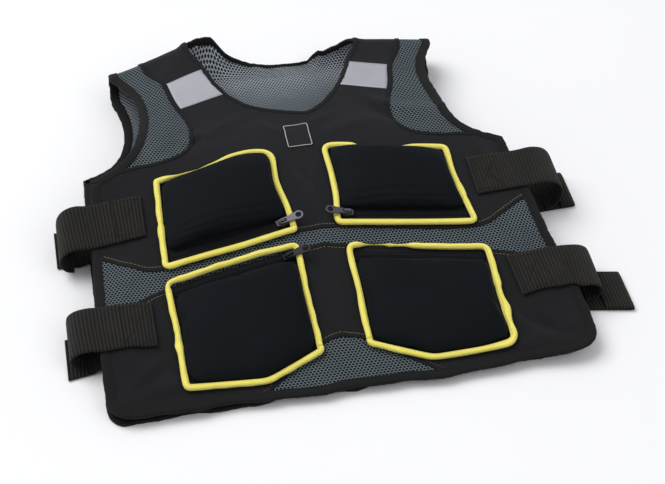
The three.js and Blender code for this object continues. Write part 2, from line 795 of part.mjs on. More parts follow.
// A patch over four corners, [s=0,t=0], [1,0], [1,1], [0,1], with heights over the inner face.
function patch(edges, steps, lowHeight, highHeight) {
  const grid = (height) =>
    Array.from({ length: steps.t + 1 }, (_, j) =>
      Array.from({ length: steps.s + 1 }, (_, i) => {
        const s = steps.even ? i / steps.s : (1 - Math.cos((Math.PI * i) / steps.s)) / 2;
        const t = steps.even ? j / steps.t : (1 - Math.cos((Math.PI * j) / steps.t)) / 2;
        const place = coons(edges, s, t);
        return drape(place.x, place.y, height(s, t));
      }),
    );
  return gridSolid(grid(lowHeight), grid(highHeight));
}

// A Coons surface: bottom and top run with s, left and right with t.
function coons({ bottom, top, left, right }, s, t) {
  const [b, u] = [pointOn(bottom, s), pointOn(top, s)];
  const [l, r] = [pointOn(left, t), pointOn(right, t)];
  const corner = (line, at, share) => pointOn(line, at).multiplyScalar(share);
  return b
    .multiplyScalar(1 - t)
    .add(u.multiplyScalar(t))
    .add(l.multiplyScalar(1 - s))
    .add(r.multiplyScalar(s))
    .sub(corner(bottom, 0, (1 - s) * (1 - t)))
    .sub(corner(bottom, 1, s * (1 - t)))
    .sub(corner(top, 0, (1 - s) * t))
    .sub(corner(top, 1, s * t));
}

function pointOn(line, share) {
  const lengths = line.slice(1).map((p, i) => p.distanceTo(line[i]));
  let left = share * lengths.reduce((a, b) => a + b, 0);
  let i = 0;
  while (i < lengths.length - 1 && left > lengths[i]) left -= lengths[i++];
  return line[i].clone().lerp(line[i + 1], Math.min(left / lengths[i], 1));
}

const quadEdges = ([a, b, c, d]) => ({ bottom: [a, b], right: [b, c], top: [d, c], left: [a, d] });

function pocketCorners({ corners, side, up, height }) {
  return corners.map((corner) =>
    vec(side * (POCKET_SPACING / 2 + corner.across * POCKET_WIDTH), up + corner.up * height),
  );
}

// Outline of the room inside the piping, from the inner bottom corner outwards.
function pocketRoom(pocket) {
  return inset(pocketCorners(pocket), PIPING_WIDTH + SEAM);
}

// Splits the room into the filled pad and the strip for the zip at its bottom or its top.
function pocketParts(pocket) {
  const room = pocketRoom(pocket);
  const [innerTop, outerTop] = [room.at(-1), room.at(-2)];
  const bottom = room.slice(0, -2);
  const [innerBottom, outerBottom] = [bottom[0], bottom.at(-1)];
  const along = (from, to, distance) =>
    from.clone().add(to.clone().sub(from).setLength(distance));
  const strip = ZIP_WIDTH + GAP;
  if (pocket.zip === "bottom") {
    const low = [along(innerBottom, innerTop, strip), along(outerBottom, outerTop, strip)];
    const zip = [along(innerBottom, innerTop, ZIP_WIDTH), along(outerBottom, outerTop, ZIP_WIDTH)];
    return {
      pad: { bottom: low, top: [innerTop, outerTop], left: [low[0], innerTop], right: [low[1], outerTop] },
      zip: [innerBottom, outerBottom, zip[1], zip[0]],
    };
  }
  const high = [along(innerTop, innerBottom, strip), along(outerTop, outerBottom, strip)];
  const zip = [along(innerTop, innerBottom, ZIP_WIDTH), along(outerTop, outerBottom, ZIP_WIDTH)];
  return {
    pad: { bottom, top: high, left: [innerBottom, high[0]], right: [outerBottom, high[1]] },
    zip: [zip[0], zip[1], outerTop, innerTop],
  };
}

function addPad(pocket, parts) {
  const swell = (u) => 1 - Math.pow(Math.abs(2 * u - 1), FILL_SQUARE);
  const high = (s, t) => {
    const crown = Math.pow(Math.max(swell(s) * swell(t), 0), FILL_STEEP);
    return SEAT + PAD_EDGE + (FILL_RISE - PAD_EDGE) * crown;
  };
  const geometry = patch(parts.pad, { s: 10, t: 9 }, () => SEAT, high);
  addMesh("pocket_" + pocket.name, geometry, NEOPRENE);
}

function addPiping(pocket) {
  const centre = inset(roundCorners(pocketCorners(pocket), POCKET_CORNER), PIPING_WIDTH / 2);
  const steps = centre.flatMap((point, i) => {
    const next = centre[(i + 1) % centre.length];
    const count = Math.max(1, Math.round(point.distanceTo(next) / STEP_ACROSS));
    return Array.from({ length: count }, (_, k) => point.clone().lerp(next, k / count));
  });
  const outward = inset(steps, -1).map((p, i) => p.clone().sub(steps[i]).normalize());
  const section = [
    vec(-0.6, -1),
    vec(0.6, -1),
    vec(1, -0.1),
    vec(0.55, 0.95),
    vec(-0.55, 0.95),
    vec(-1, -0.1),
  ];
  const sections = steps.map((point, i) =>
    section.map((corner) => {
      const place = point.clone().addScaledVector(outward[i], (corner.x * PIPING_WIDTH) / 2);
      return drape(place.x, place.y, SEAT + ((corner.y + 1) * PIPING_HEIGHT) / 2);
    }),
  );
  addMesh("piping_" + pocket.name, ringSolid(sections), PIPING);
}

function addZip(pocket, parts) {
  const coilHalf = ZIP_COIL_WIDTH / ZIP_WIDTH / 2;
  const stations = [0, 0.5 - 1.5 * coilHalf, 0.5 - coilHalf, 0.5 + coilHalf, 0.5 + 1.5 * coilHalf, 1];
  const edges = quadEdges(parts.zip);
  const count = 5;
  const layer = (height) =>
    stations.map((t) =>
      Array.from({ length: count + 1 }, (_, i) => {
        const place = coons(edges, i / count, t);
        return drape(place.x, place.y, height(t));
      }),
    );
  const top = (t) => SEAT + (Math.abs(t - 0.5) < 1.2 * coilHalf ? ZIP_COIL : ZIP_TAPE);
  const solid = gridSolid(layer(() => SEAT), layer(top));
  addMesh("zip_" + pocket.name, solid, ZIP);
}

// Slider and pull, in a frame with +X along the zip to its inner end and +Z off the cloth

const HINGE_UP = SLIDER_HEIGHT + HINGE_CLEARANCE;

function sliderGeometry() {
  const plan = new THREE.Shape([
    vec(-SLIDER_LENGTH / 2, -SLIDER_WIDTH * 0.36),
    vec(SLIDER_LENGTH * 0.1, -SLIDER_WIDTH / 2),
    vec(SLIDER_LENGTH / 2, -SLIDER_WIDTH * 0.4),
    vec(SLIDER_LENGTH / 2, SLIDER_WIDTH * 0.4),
    vec(SLIDER_LENGTH * 0.1, SLIDER_WIDTH / 2),
    vec(-SLIDER_LENGTH / 2, SLIDER_WIDTH * 0.36),
  ]);
  const body = new THREE.ExtrudeGeometry(plan, { depth: SLIDER_HEIGHT, bevelEnabled: false });
  const reach = BRIDGE_SPAN / 2;
  const clear = HINGE_UP + HINGE_CLEARANCE;
  const foot = SLIDER_HEIGHT / 2;
  const arch = new THREE.Shape([
    vec(-reach, foot),
    vec(-reach, clear + BRIDGE_BAR * 0.4),
    vec(-reach + BRIDGE_BAR * 0.6, clear + BRIDGE_BAR),
    vec(reach - BRIDGE_BAR * 0.6, clear + BRIDGE_BAR),
    vec(reach, clear + BRIDGE_BAR * 0.4),
    vec(reach, foot),
    vec(reach - BRIDGE_BAR, foot),
    vec(reach - BRIDGE_BAR, clear),
    vec(-reach + BRIDGE_BAR, clear),
    vec(-reach + BRIDGE_BAR, foot),
  ]);
  const bridge = new THREE.ExtrudeGeometry(arch, { depth: BRIDGE_WIDTH, bevelEnabled: false });
  bridge.translate(0, 0, -BRIDGE_WIDTH / 2);
  bridge.rotateX(Math.PI / 2);
  const joined = solidOf(body).add(solidOf(bridge));
  return geometryOf(joined, (x, y, z) => new THREE.Vector3(x, y, z));
}

// The pull lies in its own XY plane, with the hinge line on the Y axis.
function pullGeometry() {
  const bar = PULL_THICKNESS / 2;
  const eyeHalf = BRIDGE_WIDTH / 2 + PULL_EYE_PLAY;
  const rim = PULL_EYE_RIM;
  const ringX = PULL_LENGTH - bar - PULL_RING;
  const shape = new THREE.Shape();
  const neckX = bar + PULL_EYE_LENGTH + rim;
  shape.moveTo(-bar, -eyeHalf - rim);
  shape.lineTo(neckX - rim, -eyeHalf - rim);
  shape.lineTo(ringX - PULL_RING * 0.2, -PULL_RING * 0.98);
  shape.absarc(ringX, 0, PULL_RING, -Math.PI * 0.5, Math.PI * 0.5, false);
  shape.lineTo(ringX - PULL_RING * 0.2, PULL_RING * 0.98);
  shape.lineTo(neckX - rim, eyeHalf + rim);
  shape.lineTo(-bar, eyeHalf + rim);
  shape.closePath();
  const eye = new THREE.Path();
  eye.moveTo(bar, -eyeHalf);
  eye.lineTo(bar, eyeHalf);
  eye.lineTo(bar + PULL_EYE_LENGTH, eyeHalf);
  eye.lineTo(bar + PULL_EYE_LENGTH, -eyeHalf);
  eye.closePath();
  const ring = new THREE.Path();
  ring.absarc(ringX, 0, PULL_RING - PULL_RIM, 0, Math.PI * 2, true);
  shape.holes.push(eye, ring);
  const geometry = new THREE.ExtrudeGeometry(shape, {
    depth: PULL_THICKNESS,
    bevelEnabled: false,
    curveSegments: 6,
  });
  geometry.translate(0, 0, -PULL_THICKNESS / 2);
  return geometryOf(solidOf(geometry), (x, y, z) => new THREE.Vector3(x, y, z));
}

function addSlider(pocket, parts) {
  const [a, b, c, d] = parts.zip;
  const inner = a.clone().add(d).divideScalar(2);
  const outer = b.clone().add(c).divideScalar(2);
  const heading = inner.clone().sub(outer).normalize();
  const seat = inner.clone().addScaledVector(heading, -SLIDER_INSET);
  const height = SEAT + ZIP_COIL + GAP;
  const base = drape(seat.x, seat.y, height);
  const ahead = drape(seat.x + heading.x, seat.y + heading.y, height).sub(base).normalize();
  const up = drape(seat.x, seat.y, height + 1).sub(base).normalize();
  const sideways = up.clone().cross(ahead).normalize();
  const frame = new THREE.Group();
  frame.applyMatrix4(new THREE.Matrix4().makeBasis(ahead, sideways, up).setPosition(base));
  const tag = pocket.name;
  const slider = addMesh("slider_" + tag, sliderGeometry(), PULL_METAL);
  const pull = addMesh("pull_" + tag, pullGeometry(), PULL_METAL);
  pull.position.z = HINGE_UP;
  pull.rotation.y = -THREE.MathUtils.degToRad(PULL_REST_TILT);
  frame.add(slider, pull);
  group.add(frame);
}

function addPocket(pocket) {
  const parts = pocketParts(pocket);
  addPad(pocket, parts);
  addPiping(pocket);
  addZip(pocket, parts);
  if (pocket.slider) addSlider(pocket, parts);
}

// A reflective patch across the shoulder strap, from the neck binding to the seam of the arm mesh.
function addReflective(side, word) {
  const turn = THREE.MathUtils.degToRad(REFLECTIVE_TILT);
  const middle = vec(NECK_HALF, BODY_LENGTH - REFLECTIVE_DOWN);
  const strip = [
    [-1, -1],
    [1, -1],
    [1, 1],
    [-1, 1],
  ].map(([s, t]) => {
    const corner = vec(s * NECK_HALF, (t * REFLECTIVE_LENGTH) / 2);
    return corner.rotateAround(vec(0, 0), -turn).add(middle);
  });
  const seamSide = [vec(0, seamRight.at(-1).y), ...moved(seamRight, -REFLECTIVE_MARGIN, 0).reverse()];
  const toSeam = [...seamSide, vec(0, seamRight[0].y)];
  const place = (points) => (side > 0 ? points : mirrored(points));
  const patchSolid = clothSlab(SEAT, SEAT + REFLECTIVE_THICKNESS)
    .intersect(cutter(place(strip)))
    .intersect(cutter(place(toSeam)))
    .subtract(cutter(inset(neck, -NECK_BINDING_WIDTH - SEAM)));
  addMesh("reflective_" + word, draped(patchSolid), REFLECTIVE);
}

function addLabel() {
  const [w, h] = [LABEL_WIDTH / 2, LABEL_HEIGHT / 2];
  const corners = [vec(-w, -h), vec(w, -h), vec(w, h), vec(-w, h)];
  const placed = moved(corners, LABEL_ACROSS, BODY_LENGTH - NECK_DEPTH - LABEL_DOWN);
  const flat = { s: 2, t: 2, even: true };
  const top = SEAT + LABEL_THICKNESS;
  addMesh("chest_label", patch(quadEdges(placed), flat, () => SEAT, () => top), LABEL);
}

// Straps

// A ribbon of even thickness whose centre line is lines[row][station].
function ribbon(lines) {
  const rows = lines.length;
  const stations = lines[0].length;
  const layer = (sign) =>
    lines.map((line, i) =>
      line.map((point, j) => {
        const alongStrap = line[Math.min(j + 1, stations - 1)].clone().sub(line[Math.max(j - 1, 0)]);
        const across = lines[Math.min(i + 1, rows - 1)][j].clone().sub(lines[Math.max(i - 1, 0)][j]);
        const normal = across.cross(alongStrap).normalize();
        return point.clone().addScaledVector(normal, (sign * STRAP_THICKNESS) / 2);
      }),
    );
  return gridSolid(layer(-1), layer(1));
}

function strapLines(strap, station) {
  const count = 2;
  return Array.from({ length: count + 1 }, (_, i) => {
    const offset = (i / count - 0.5) * STRAP_WIDTH;
    return station(strap.up + offset);
  });
}

// The front strap lies on the front, arches off the side and comes back under itself.
function addLoop(strap) {
  const above = CLOTH + BINDING_PROUD + SEAM + STRAP_THICKNESS / 2;
  const lowest = GAP + STRAP_THICKNESS + GAP + STRAP_THICKNESS / 2;
  const strapEdge = HEM_HALF - BINDING_WIDTH / 2; // where the strap leaves the front
  const lines = strapLines(strap, (up) => {
    const slanted = (x) =>
      up + strap.loopSlant * STRAP_WIDTH * ((x - strap.start) / (strap.loopReach - strap.start));
    const onCloth = [0, 0.5, 1].map((share) => {
      const x = strap.start + share * (strapEdge - strap.start);
      return drape(strap.side * x, slanted(x), above);
    });
    const edge = onCloth.at(-1).z;
    const drop = edge - lowest;
    const free = [
      { out: 0.42, rise: 0.03 },
      { out: 0.75, rise: -0.06 },
      { out: 0.95, rise: -0.26 },
      { out: 1, rise: -0.5 },
      { out: 0.95, rise: -0.75 },
      { out: 0.82, rise: -0.92 },
      { out: 0.62, rise: -1 },
    ].map((row) => {
      const x = strapEdge + row.out * (strap.loopReach - strapEdge);
      return new THREE.Vector3(strap.side * x, slanted(x), edge + row.rise * drop);
    });
    return new THREE.CatmullRomCurve3([...onCloth, ...free]).getPoints(13);
  });
  addMesh("strap_front_" + strap.name, ribbon(lines), WEBBING);
}

// The back strap starts on the inner face of the back, steps down to the floor and ends in a folded tab.
function addTab(strap) {
  const middle = STRAP_THICKNESS / 2;
  const onPanel = CLOTH + BINDING_INSIDE + GAP + middle;
  const onFloor = GAP + middle;
  const folded = onFloor + STRAP_THICKNESS + GAP;
  const fold = strap.tabReach - middle;
  const hemLength = strap.tabReach - strap.loopReach - STRAP_THICKNESS;
  const path = [
    [HEM_HALF - STRAP_SEAM, onPanel],
    [HEM_HALF + middle, onPanel],
    [HEM_HALF + 8 * middle, onFloor],
    [fold - 4 * middle, onFloor],
    [fold - middle, onFloor],
  ];
  if (hemLength > STRAP_THICKNESS * 5) {
    path.push([fold, (onFloor + folded) / 2]);
    path.push([fold - middle, folded]);
    path.push([strap.tabReach - hemLength, folded]);
  }
  const slant = strap.tabSlant * STRAP_WIDTH;
  const lines = strapLines(strap, (up) =>
    path.map(([x, z]) => {
      const share = (x - HEM_HALF + STRAP_SEAM) / (strap.tabReach - HEM_HALF + STRAP_SEAM);
      return new THREE.Vector3(strap.side * x, up + slant * share, z);
    }),
  );
  addMesh("strap_back_" + strap.name, ribbon(lines), WEBBING);
}

addPanels();
addBindings();
POCKETS.forEach(addPocket);
addReflective(-1, "left");
addReflective(1, "right");
addLabel();
for (const strap of STRAPS) {
  addLoop(strap);
  addTab(strap);
}

// The origin lies under the middle of the back, on the face that rests on the floor.
group.position.y = -BODY_LENGTH / 2;

export default group;
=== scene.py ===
import math

import bpy
import numpy as np
from mathutils import Matrix, Vector
from mathutils.geometry import delaunay_2d_cdt


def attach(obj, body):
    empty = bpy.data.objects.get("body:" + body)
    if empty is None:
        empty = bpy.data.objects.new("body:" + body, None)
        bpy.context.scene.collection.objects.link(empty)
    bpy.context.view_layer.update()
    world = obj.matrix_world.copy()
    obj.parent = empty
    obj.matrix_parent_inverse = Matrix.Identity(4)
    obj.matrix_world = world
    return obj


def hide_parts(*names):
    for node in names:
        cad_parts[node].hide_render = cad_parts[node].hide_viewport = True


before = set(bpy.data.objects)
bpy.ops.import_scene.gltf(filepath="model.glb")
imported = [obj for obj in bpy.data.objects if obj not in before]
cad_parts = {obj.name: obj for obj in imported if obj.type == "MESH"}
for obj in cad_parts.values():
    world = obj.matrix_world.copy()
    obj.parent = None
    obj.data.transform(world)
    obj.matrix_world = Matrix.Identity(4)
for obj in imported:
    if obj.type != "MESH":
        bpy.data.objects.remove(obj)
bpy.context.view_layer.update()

# Sizes of the vest, those of the part's source
BODY_LENGTH = 432
HEM_HALF = 210
UNDERARM_HALF = 199
BACK_UNDERARM_HALF = 206
SHOULDER_HALF = 168
SHOULDER_DROP = 15
ARM_NARROW_HALF = 145
BACK_NARROW_HALF = 160
ARM_DEPTH = 159
BACK_ARM_DEPTH = 112
NECK_HALF = 89
NECK_DEPTH = 106
BACK_DROP_LEFT = 1
BACK_DROP_RIGHT = -12
HEM_CORNER = 20
CHEST_RISE = 42
TURN = 60
COLLAR_DIP = 2
COLLAR_SHARE = 0.35
CLOTH = 2.4
BINDING_WIDTH = 9
NECK_BINDING_WIDTH = 5.5
BINDING_PROUD = 0.6
GAP = 0.3
SEAM = 0.6
SEAT = CLOTH + GAP
ARM_MESH_WIDTH = 45
HEM_MESH_HALF = 82
HEM_MESH_RISE = 56
POCKET_WIDTH = 126
UPPER_POCKET_HEIGHT = 104
LOWER_POCKET_HEIGHT = 122
POCKET_SPACING = 38
UPPER_POCKET_UP = 170
LOWER_POCKET_UP = 40
FILL_RISE = 18
PAD_EDGE = 3
PIPING_WIDTH = 7
PIPING_HEIGHT = 5.4
ZIP_WIDTH = 11
STRAP_WIDTH = 46
STRAP_THICKNESS = 2
STRAP_SEAM = 22
REFLECTIVE_LENGTH = 41
REFLECTIVE_DOWN = 55
REFLECTIVE_MARGIN = 3
REFLECTIVE_TILT = 20
LABEL_WIDTH = 25
LABEL_HEIGHT = 32
LABEL_ACROSS = 3
LABEL_UP = 292
MARGIN = 24
WIDE = HEM_HALF + 2 * MARGIN

# Tables of the part's source, columns as there
FRONT_RISE = [  # up, rise
    (0, 0.15), (0.058, 0.17), (0.139, 0.26), (0.255, 0.46), (0.37, 0.67), (0.475, 0.83),
    (0.579, 0.95), (0.671, 1), (0.787, 0.9), (0.926, 0.84), (1, 0.86),
]
FRONT_FOLDS = [  # across, up, rise, reach
    (-0.41, 0.98, 0.15, 0.28), (-0.8, 0.96, -0.12, 0.26), (0.41, 0.98, -0.06, 0.25),
    (1.05, 0, 0.13, 0.28), (-1, 0.39, -0.16, 0.26), (1, 0.4, 0.06, 0.25),
    (-0.95, 0.18, 0.2, 0.32), (0.95, 0.18, 0.2, 0.32), (-0.75, 0.72, 0.1, 0.25),
    (0, 0.62, -0.07, 0.26),
]
FRONT_SHIFTS = [  # across, up, right, ahead, reach
    (0.76, 0.78, 0.045, 0, 0.2), (-0.42, 1, 0.026, 0.03, 0.24),
    (0.6, 1, 0, 0.016, 0.35), (1, 0.06, 0.055, 0.03, 0.38),
]
SIDE_EDGE = [(0.2, 0.02), (0.45, 0.1), (0.75, 0.4), (1, 1)]  # up, inward
ARMHOLE = [  # down, tip, out
    (0, 1, 0), (0.13, 0.5, 0), (0.26, 0.14, 0), (0.41, 0, 0), (0.575, 0, 0.04),
    (0.74, 0, 0.17), (0.85, 0, 0.35), (0.93, 0, 0.61), (1, 0, 1),
]
NECKLINE = [  # across, left, right
    (1, 0, 0), (0.86, 0.22, 0.2), (0.7, 0.5, 0.5), (0.53, 0.7, 0.73), (0.36, 0.82, 0.89), (0.2, 0.88, 0.97),
    (0, 0.935, 0.935),
]
ARM_SEAM = [  # down, inward, out
    (-0.45, 0.2, 0), (0, 0.27, 0), (0.15, 0.58, 0), (0.36, 0.78, 0), (0.55, 1, 0),
    (0.68, 1.04, 0), (0.82, 0.91, 0), (0.88, 0.66, 0), (0.925, 0.2, 0),
    (0.945, 0, 0.26), (0.975, 0, 0.72), (1.03, 0, 1.5),
]
BAND_TOP = [  # across, left, right
    (0, 0.398, 0.398), (0.1, 0.394, 0.396), (0.72, 0.34, 0.352), (0.81, 0.354, 0.372),
    (0.93, 0.39, 0.405), (1.12, 0.42, 0.44),
]
BAND_BOTTOM = [
    (0, 0.36, 0.36), (0.1, 0.353, 0.352), (0.72, 0.286, 0.284), (0.8, 0.268, 0.268),
    (0.89, 0.25, 0.252), (1.12, 0.22, 0.235),
]
HEM_SEAM = [(0, 1), (0.15, 0.96), (0.33, 0.8), (0.66, 0.42), (1.1, -0.1)]
POCKETS = {  # side, up, height, zip at the bottom, corners from the inner bottom outwards
    "upper_left": (-1, UPPER_POCKET_UP, UPPER_POCKET_HEIGHT, True,
                   [(0, 0), (1.01, -0.25), (0.98, 0.75), (0.05, 1.03)]),
    "upper_right": (1, UPPER_POCKET_UP, UPPER_POCKET_HEIGHT, True,
                    [(-0.02, 0.02), (1.03, -0.17), (0.975, 0.78), (0.02, 1.01)]),
    "lower_left": (-1, LOWER_POCKET_UP, LOWER_POCKET_HEIGHT, False,
                   [(0, 0), (0.42, -0.21), (1, -0.18), (1.02, 0.755), (0.01, 0.975)]),
    "lower_right": (1, LOWER_POCKET_UP, LOWER_POCKET_HEIGHT, False,
                    [(0, 0.01), (0.42, -0.2), (1, -0.2), (1.045, 0.72), (0.01, 0.92)]),
}
STRAPS = {  # side, up, start, reach of the loop, reach of the tab, slant of the loop, slant of the tab
    "upper_left": (-1, 210, 156, 235, 241, -0.14, 0.1),
    "upper_right": (1, 210, 156, 242, 259, 0.06, 0.1),
    "lower_left": (-1, 88, 161, 235, 241, 0, -0.2),
    "lower_right": (1, 88, 161, 242, 271, 0.04, -0.3),
}

# Soft creases that the source leaves out
CREASE_STRENGTH = 2.3
CREASES = [  # middle across and up, heading in degrees, half length, half width, share of the strength
    (-6, 232, 84, 34, 6, 0.7),
    (9, 205, 97, 30, 5, -0.6),
    (-4, 90, 88, 40, 7, 0.8),
    (8, 60, 80, 30, 6, -0.6),
    (120, 316, 160, 30, 8, 0.9),
    (104, 300, 150, 34, 7, -0.7),
    (60, 300, 12, 30, 8, 0.6),
    (-70, 318, 35, 30, 8, 0.7),
    (-110, 292, 20, 28, 7, -0.6),
    (-176, 150, 70, 30, 8, 0.8),
    (-186, 60, 110, 30, 9, 0.9),
    (-160, 24, 10, 34, 7, 0.8),
    (178, 60, 65, 34, 9, 0.9),
    (186, 120, 80, 26, 7, -0.7),
    (150, 18, 175, 36, 7, 0.7),
    (-120, 395, 70, 26, 8, 0.7),
    (-100, 300, 35, 22, 4, 0.7),
    (-88, 306, 48, 26, 4, -0.6),
    (100, 322, 140, 26, 4.5, 0.8),
    (92, 308, 128, 24, 4, -0.6),
    (24, 312, 30, 22, 4, 0.5),
    (-22, 306, 140, 20, 4, 0.5),
    (-185, 210, 80, 22, 4, 0.7),
    (-178, 226, 95, 20, 4, -0.5),
    (176, 232, 100, 24, 5, 0.8),
    (184, 214, 80, 20, 4, -0.6),
    (150, 40, 120, 26, 5, 0.8),
    (172, 26, 140, 26, 5, -0.7),
    (-172, 42, 40, 26, 5, 0.8),
    (-156, 52, 60, 24, 5, -0.6),
    (2, 222, 75, 26, 3.5, 0.6),
    (-3, 240, 110, 22, 3.5, -0.5),
    (3, 150, 92, 30, 3.5, 0.5),
    (128, 392, 100, 24, 8, -0.6),
]
CREASE_CURVE = 0.004

# How the back edge of the neck departs from its even curve, and how far that reaches either way
COLLAR_FORM = [  # across, up, away from the hem
    (-116, 0, 0), (-100, 2, 0), (-88, 8, 2), (-76, 16, 7), (-66, 20, 10), (-59, 20, 10), (-52, 13, 7),
    (-44, 8, 4), (-34, 5, 2), (-18, 2, 0), (0, 0, 0), (18, -2, 0), (32, -3, -1), (43, -4, -2), (49, 1, 0),
    (54, 3, 1), (61, 1, 0), (70, 4, 2), (80, 5, 2), (90, 3, 0), (104, 0, 0),
]
COLLAR_FRONT_REACH = 34
COLLAR_CREST = 8
COLLAR_BACK_REACH = 26


# Curves of the pattern

def smooth(points, steps):
    """Centripetal Catmull-Rom curve through points, with even steps between each two of them."""
    p = np.asarray(points, float)
    p = np.vstack([2 * p[0] - p[1], p, 2 * p[-1] - p[-2]])
    count = len(p) - 3
    out = []
    for k in range(steps + 1):
        at = k / steps * count
        i = min(int(at), count - 1)
        t = at - i
        a, b, c, d = p[i:i + 4]
        da, db, dc = (max(np.linalg.norm(v) ** 0.5, 1e-6) for v in (b - a, c - b, d - c))
        m1 = ((b - a) / da - (c - a) / (da + db) + (c - b) / db) * db
        m2 = ((c - b) / db - (d - b) / (db + dc) + (d - c) / dc) * db
        out.append(b + m1 * t + (-3 * b + 3 * c - 2 * m1 - m2) * t ** 2
                   + (2 * b - 2 * c + m1 + m2) * t ** 3)
    return np.array(out)


def quadratic(a, b, c, steps):
    t = np.linspace(0, 1, steps + 1)[:, None]
    a, b, c = (np.array(v, float) for v in (a, b, c))
    return (1 - t) ** 2 * a + 2 * t * (1 - t) * b + t ** 2 * c


def mirrored(points):
    return (np.asarray(points, float) * (-1, 1))[::-1]


def moved(points, x, y):
    return np.asarray(points, float) + (x, y)


def read_table(rows, at):
    """Smooth curve through (key, value) rows, read at an array of keys."""
    keys = np.array([r[0] for r in rows], float)
    values = np.array([r[1] for r in rows], float)
    place = np.clip(at, keys[0], keys[-1])
    i = np.clip(np.searchsorted(keys, place, side="right") - 1, 0, len(keys) - 2)
    slopes = np.empty(len(keys))
    slopes[1:-1] = (values[2:] - values[:-2]) / (keys[2:] - keys[:-2])
    slopes[0] = (values[1] - values[0]) / (keys[1] - keys[0])
    slopes[-1] = (values[-1] - values[-2]) / (keys[-1] - keys[-2])
    width = keys[i + 1] - keys[i]
    t = (place - keys[i]) / width
    h = t * t * (3 - 2 * t)
    bend = width * t * (1 - t) * (slopes[i] * (1 - t) - slopes[i + 1] * t)
    return values[i] * (1 - h) + values[i + 1] * h + bend


def spaced(points, step, closed=False):
    """The line's points, evenly spaced at about a step."""
    p = np.asarray(points, float)
    if closed:
        p = np.vstack([p, p[:1]])
    lengths = np.linalg.norm(np.diff(p, axis=0), axis=1)
    p = p[np.r_[True, lengths > 1e-6]]
    run = np.r_[0, np.cumsum(np.linalg.norm(np.diff(p, axis=0), axis=1))]
    count = max(2, round(run[-1] / step))
    at = np.linspace(0, run[-1], count + 1)
    out = np.stack([np.interp(at, run, p[:, k]) for k in range(p.shape[1])], axis=1)
    return out[:-1] if closed else out


def area_of(points):
    x, y = np.asarray(points, float).T
    return 0.5 * np.sum(x * np.roll(y, -1) - np.roll(x, -1) * y)


def outward(points, closed=True):
    """Mitred unit normals of a line in the plane, to the right of its heading, and their mitre factors."""
    p = np.asarray(points, float)
    if closed:
        before = p - np.roll(p, 1, axis=0)
        after = np.roll(p, -1, axis=0) - p
    else:
        after = np.vstack([np.diff(p, axis=0), p[-1:] - p[-2:-1]])
        before = np.vstack([after[:1], after[:-1]])
    before /= np.linalg.norm(before, axis=1)[:, None]
    after /= np.linalg.norm(after, axis=1)[:, None]
    both = before + after
    both /= np.linalg.norm(both, axis=1)[:, None]
    normal = np.stack([both[:, 1], -both[:, 0]], axis=1)
    cosine = np.maximum(0.35, np.sum(both * before, axis=1))
    return normal, 1 / cosine


def inset(points, distance):
    """A closed outline moved inwards by a distance, or outwards where it is negative."""
    normal, mitre = outward(points)
    sign = -1 if area_of(points) > 0 else 1
    return np.asarray(points, float) + normal * (sign * distance * mitre)[:, None]


def inside(points, outline):
    """Which points lie inside a closed outline."""
    x, y = points[:, 0], points[:, 1]
    hit = np.zeros(len(points), bool)
    a = np.asarray(outline, float)
    for (x0, y0), (x1, y1) in zip(a, np.roll(a, -1, axis=0)):
        if y0 != y1:
            hit ^= ((y0 > y) != (y1 > y)) & (x < (x1 - x0) * (y - y0) / (y1 - y0) + x0)
    return hit


# Form of the lying vest

def fold_line(across):
    share = (np.abs(across) - NECK_HALF) / (SHOULDER_HALF - NECK_HALF)
    return BODY_LENGTH - SHOULDER_DROP * np.clip(share, 0, 1)


def smoothstep(x, low, high):
    t = np.clip((x - low) / (high - low), 0, 1)
    return t * t * (3 - 2 * t)


def front_rise(across, along):
    rise = read_table(FRONT_RISE, along / BODY_LENGTH)
    for x, up, by, reach in FRONT_FOLDS:
        dx = across / HEM_HALF - x
        dy = (along / BODY_LENGTH - up) * (BODY_LENGTH / HEM_HALF)
        rise = rise + by * np.exp(-(dx ** 2 + dy ** 2) / reach ** 2)
    rise = rise * CHEST_RISE
    for x, up, heading, half_length, half_width, by in CREASES:
        turn = math.radians(heading)
        dx, dy = across - x, along - up
        run = dx * math.cos(turn) + dy * math.sin(turn)
        off = -dx * math.sin(turn) + dy * math.cos(turn) + CREASE_CURVE * run ** 2
        rise = rise + CREASE_STRENGTH * by * np.exp(-(run / half_length) ** 2 - (off / half_width) ** 2)
    return rise


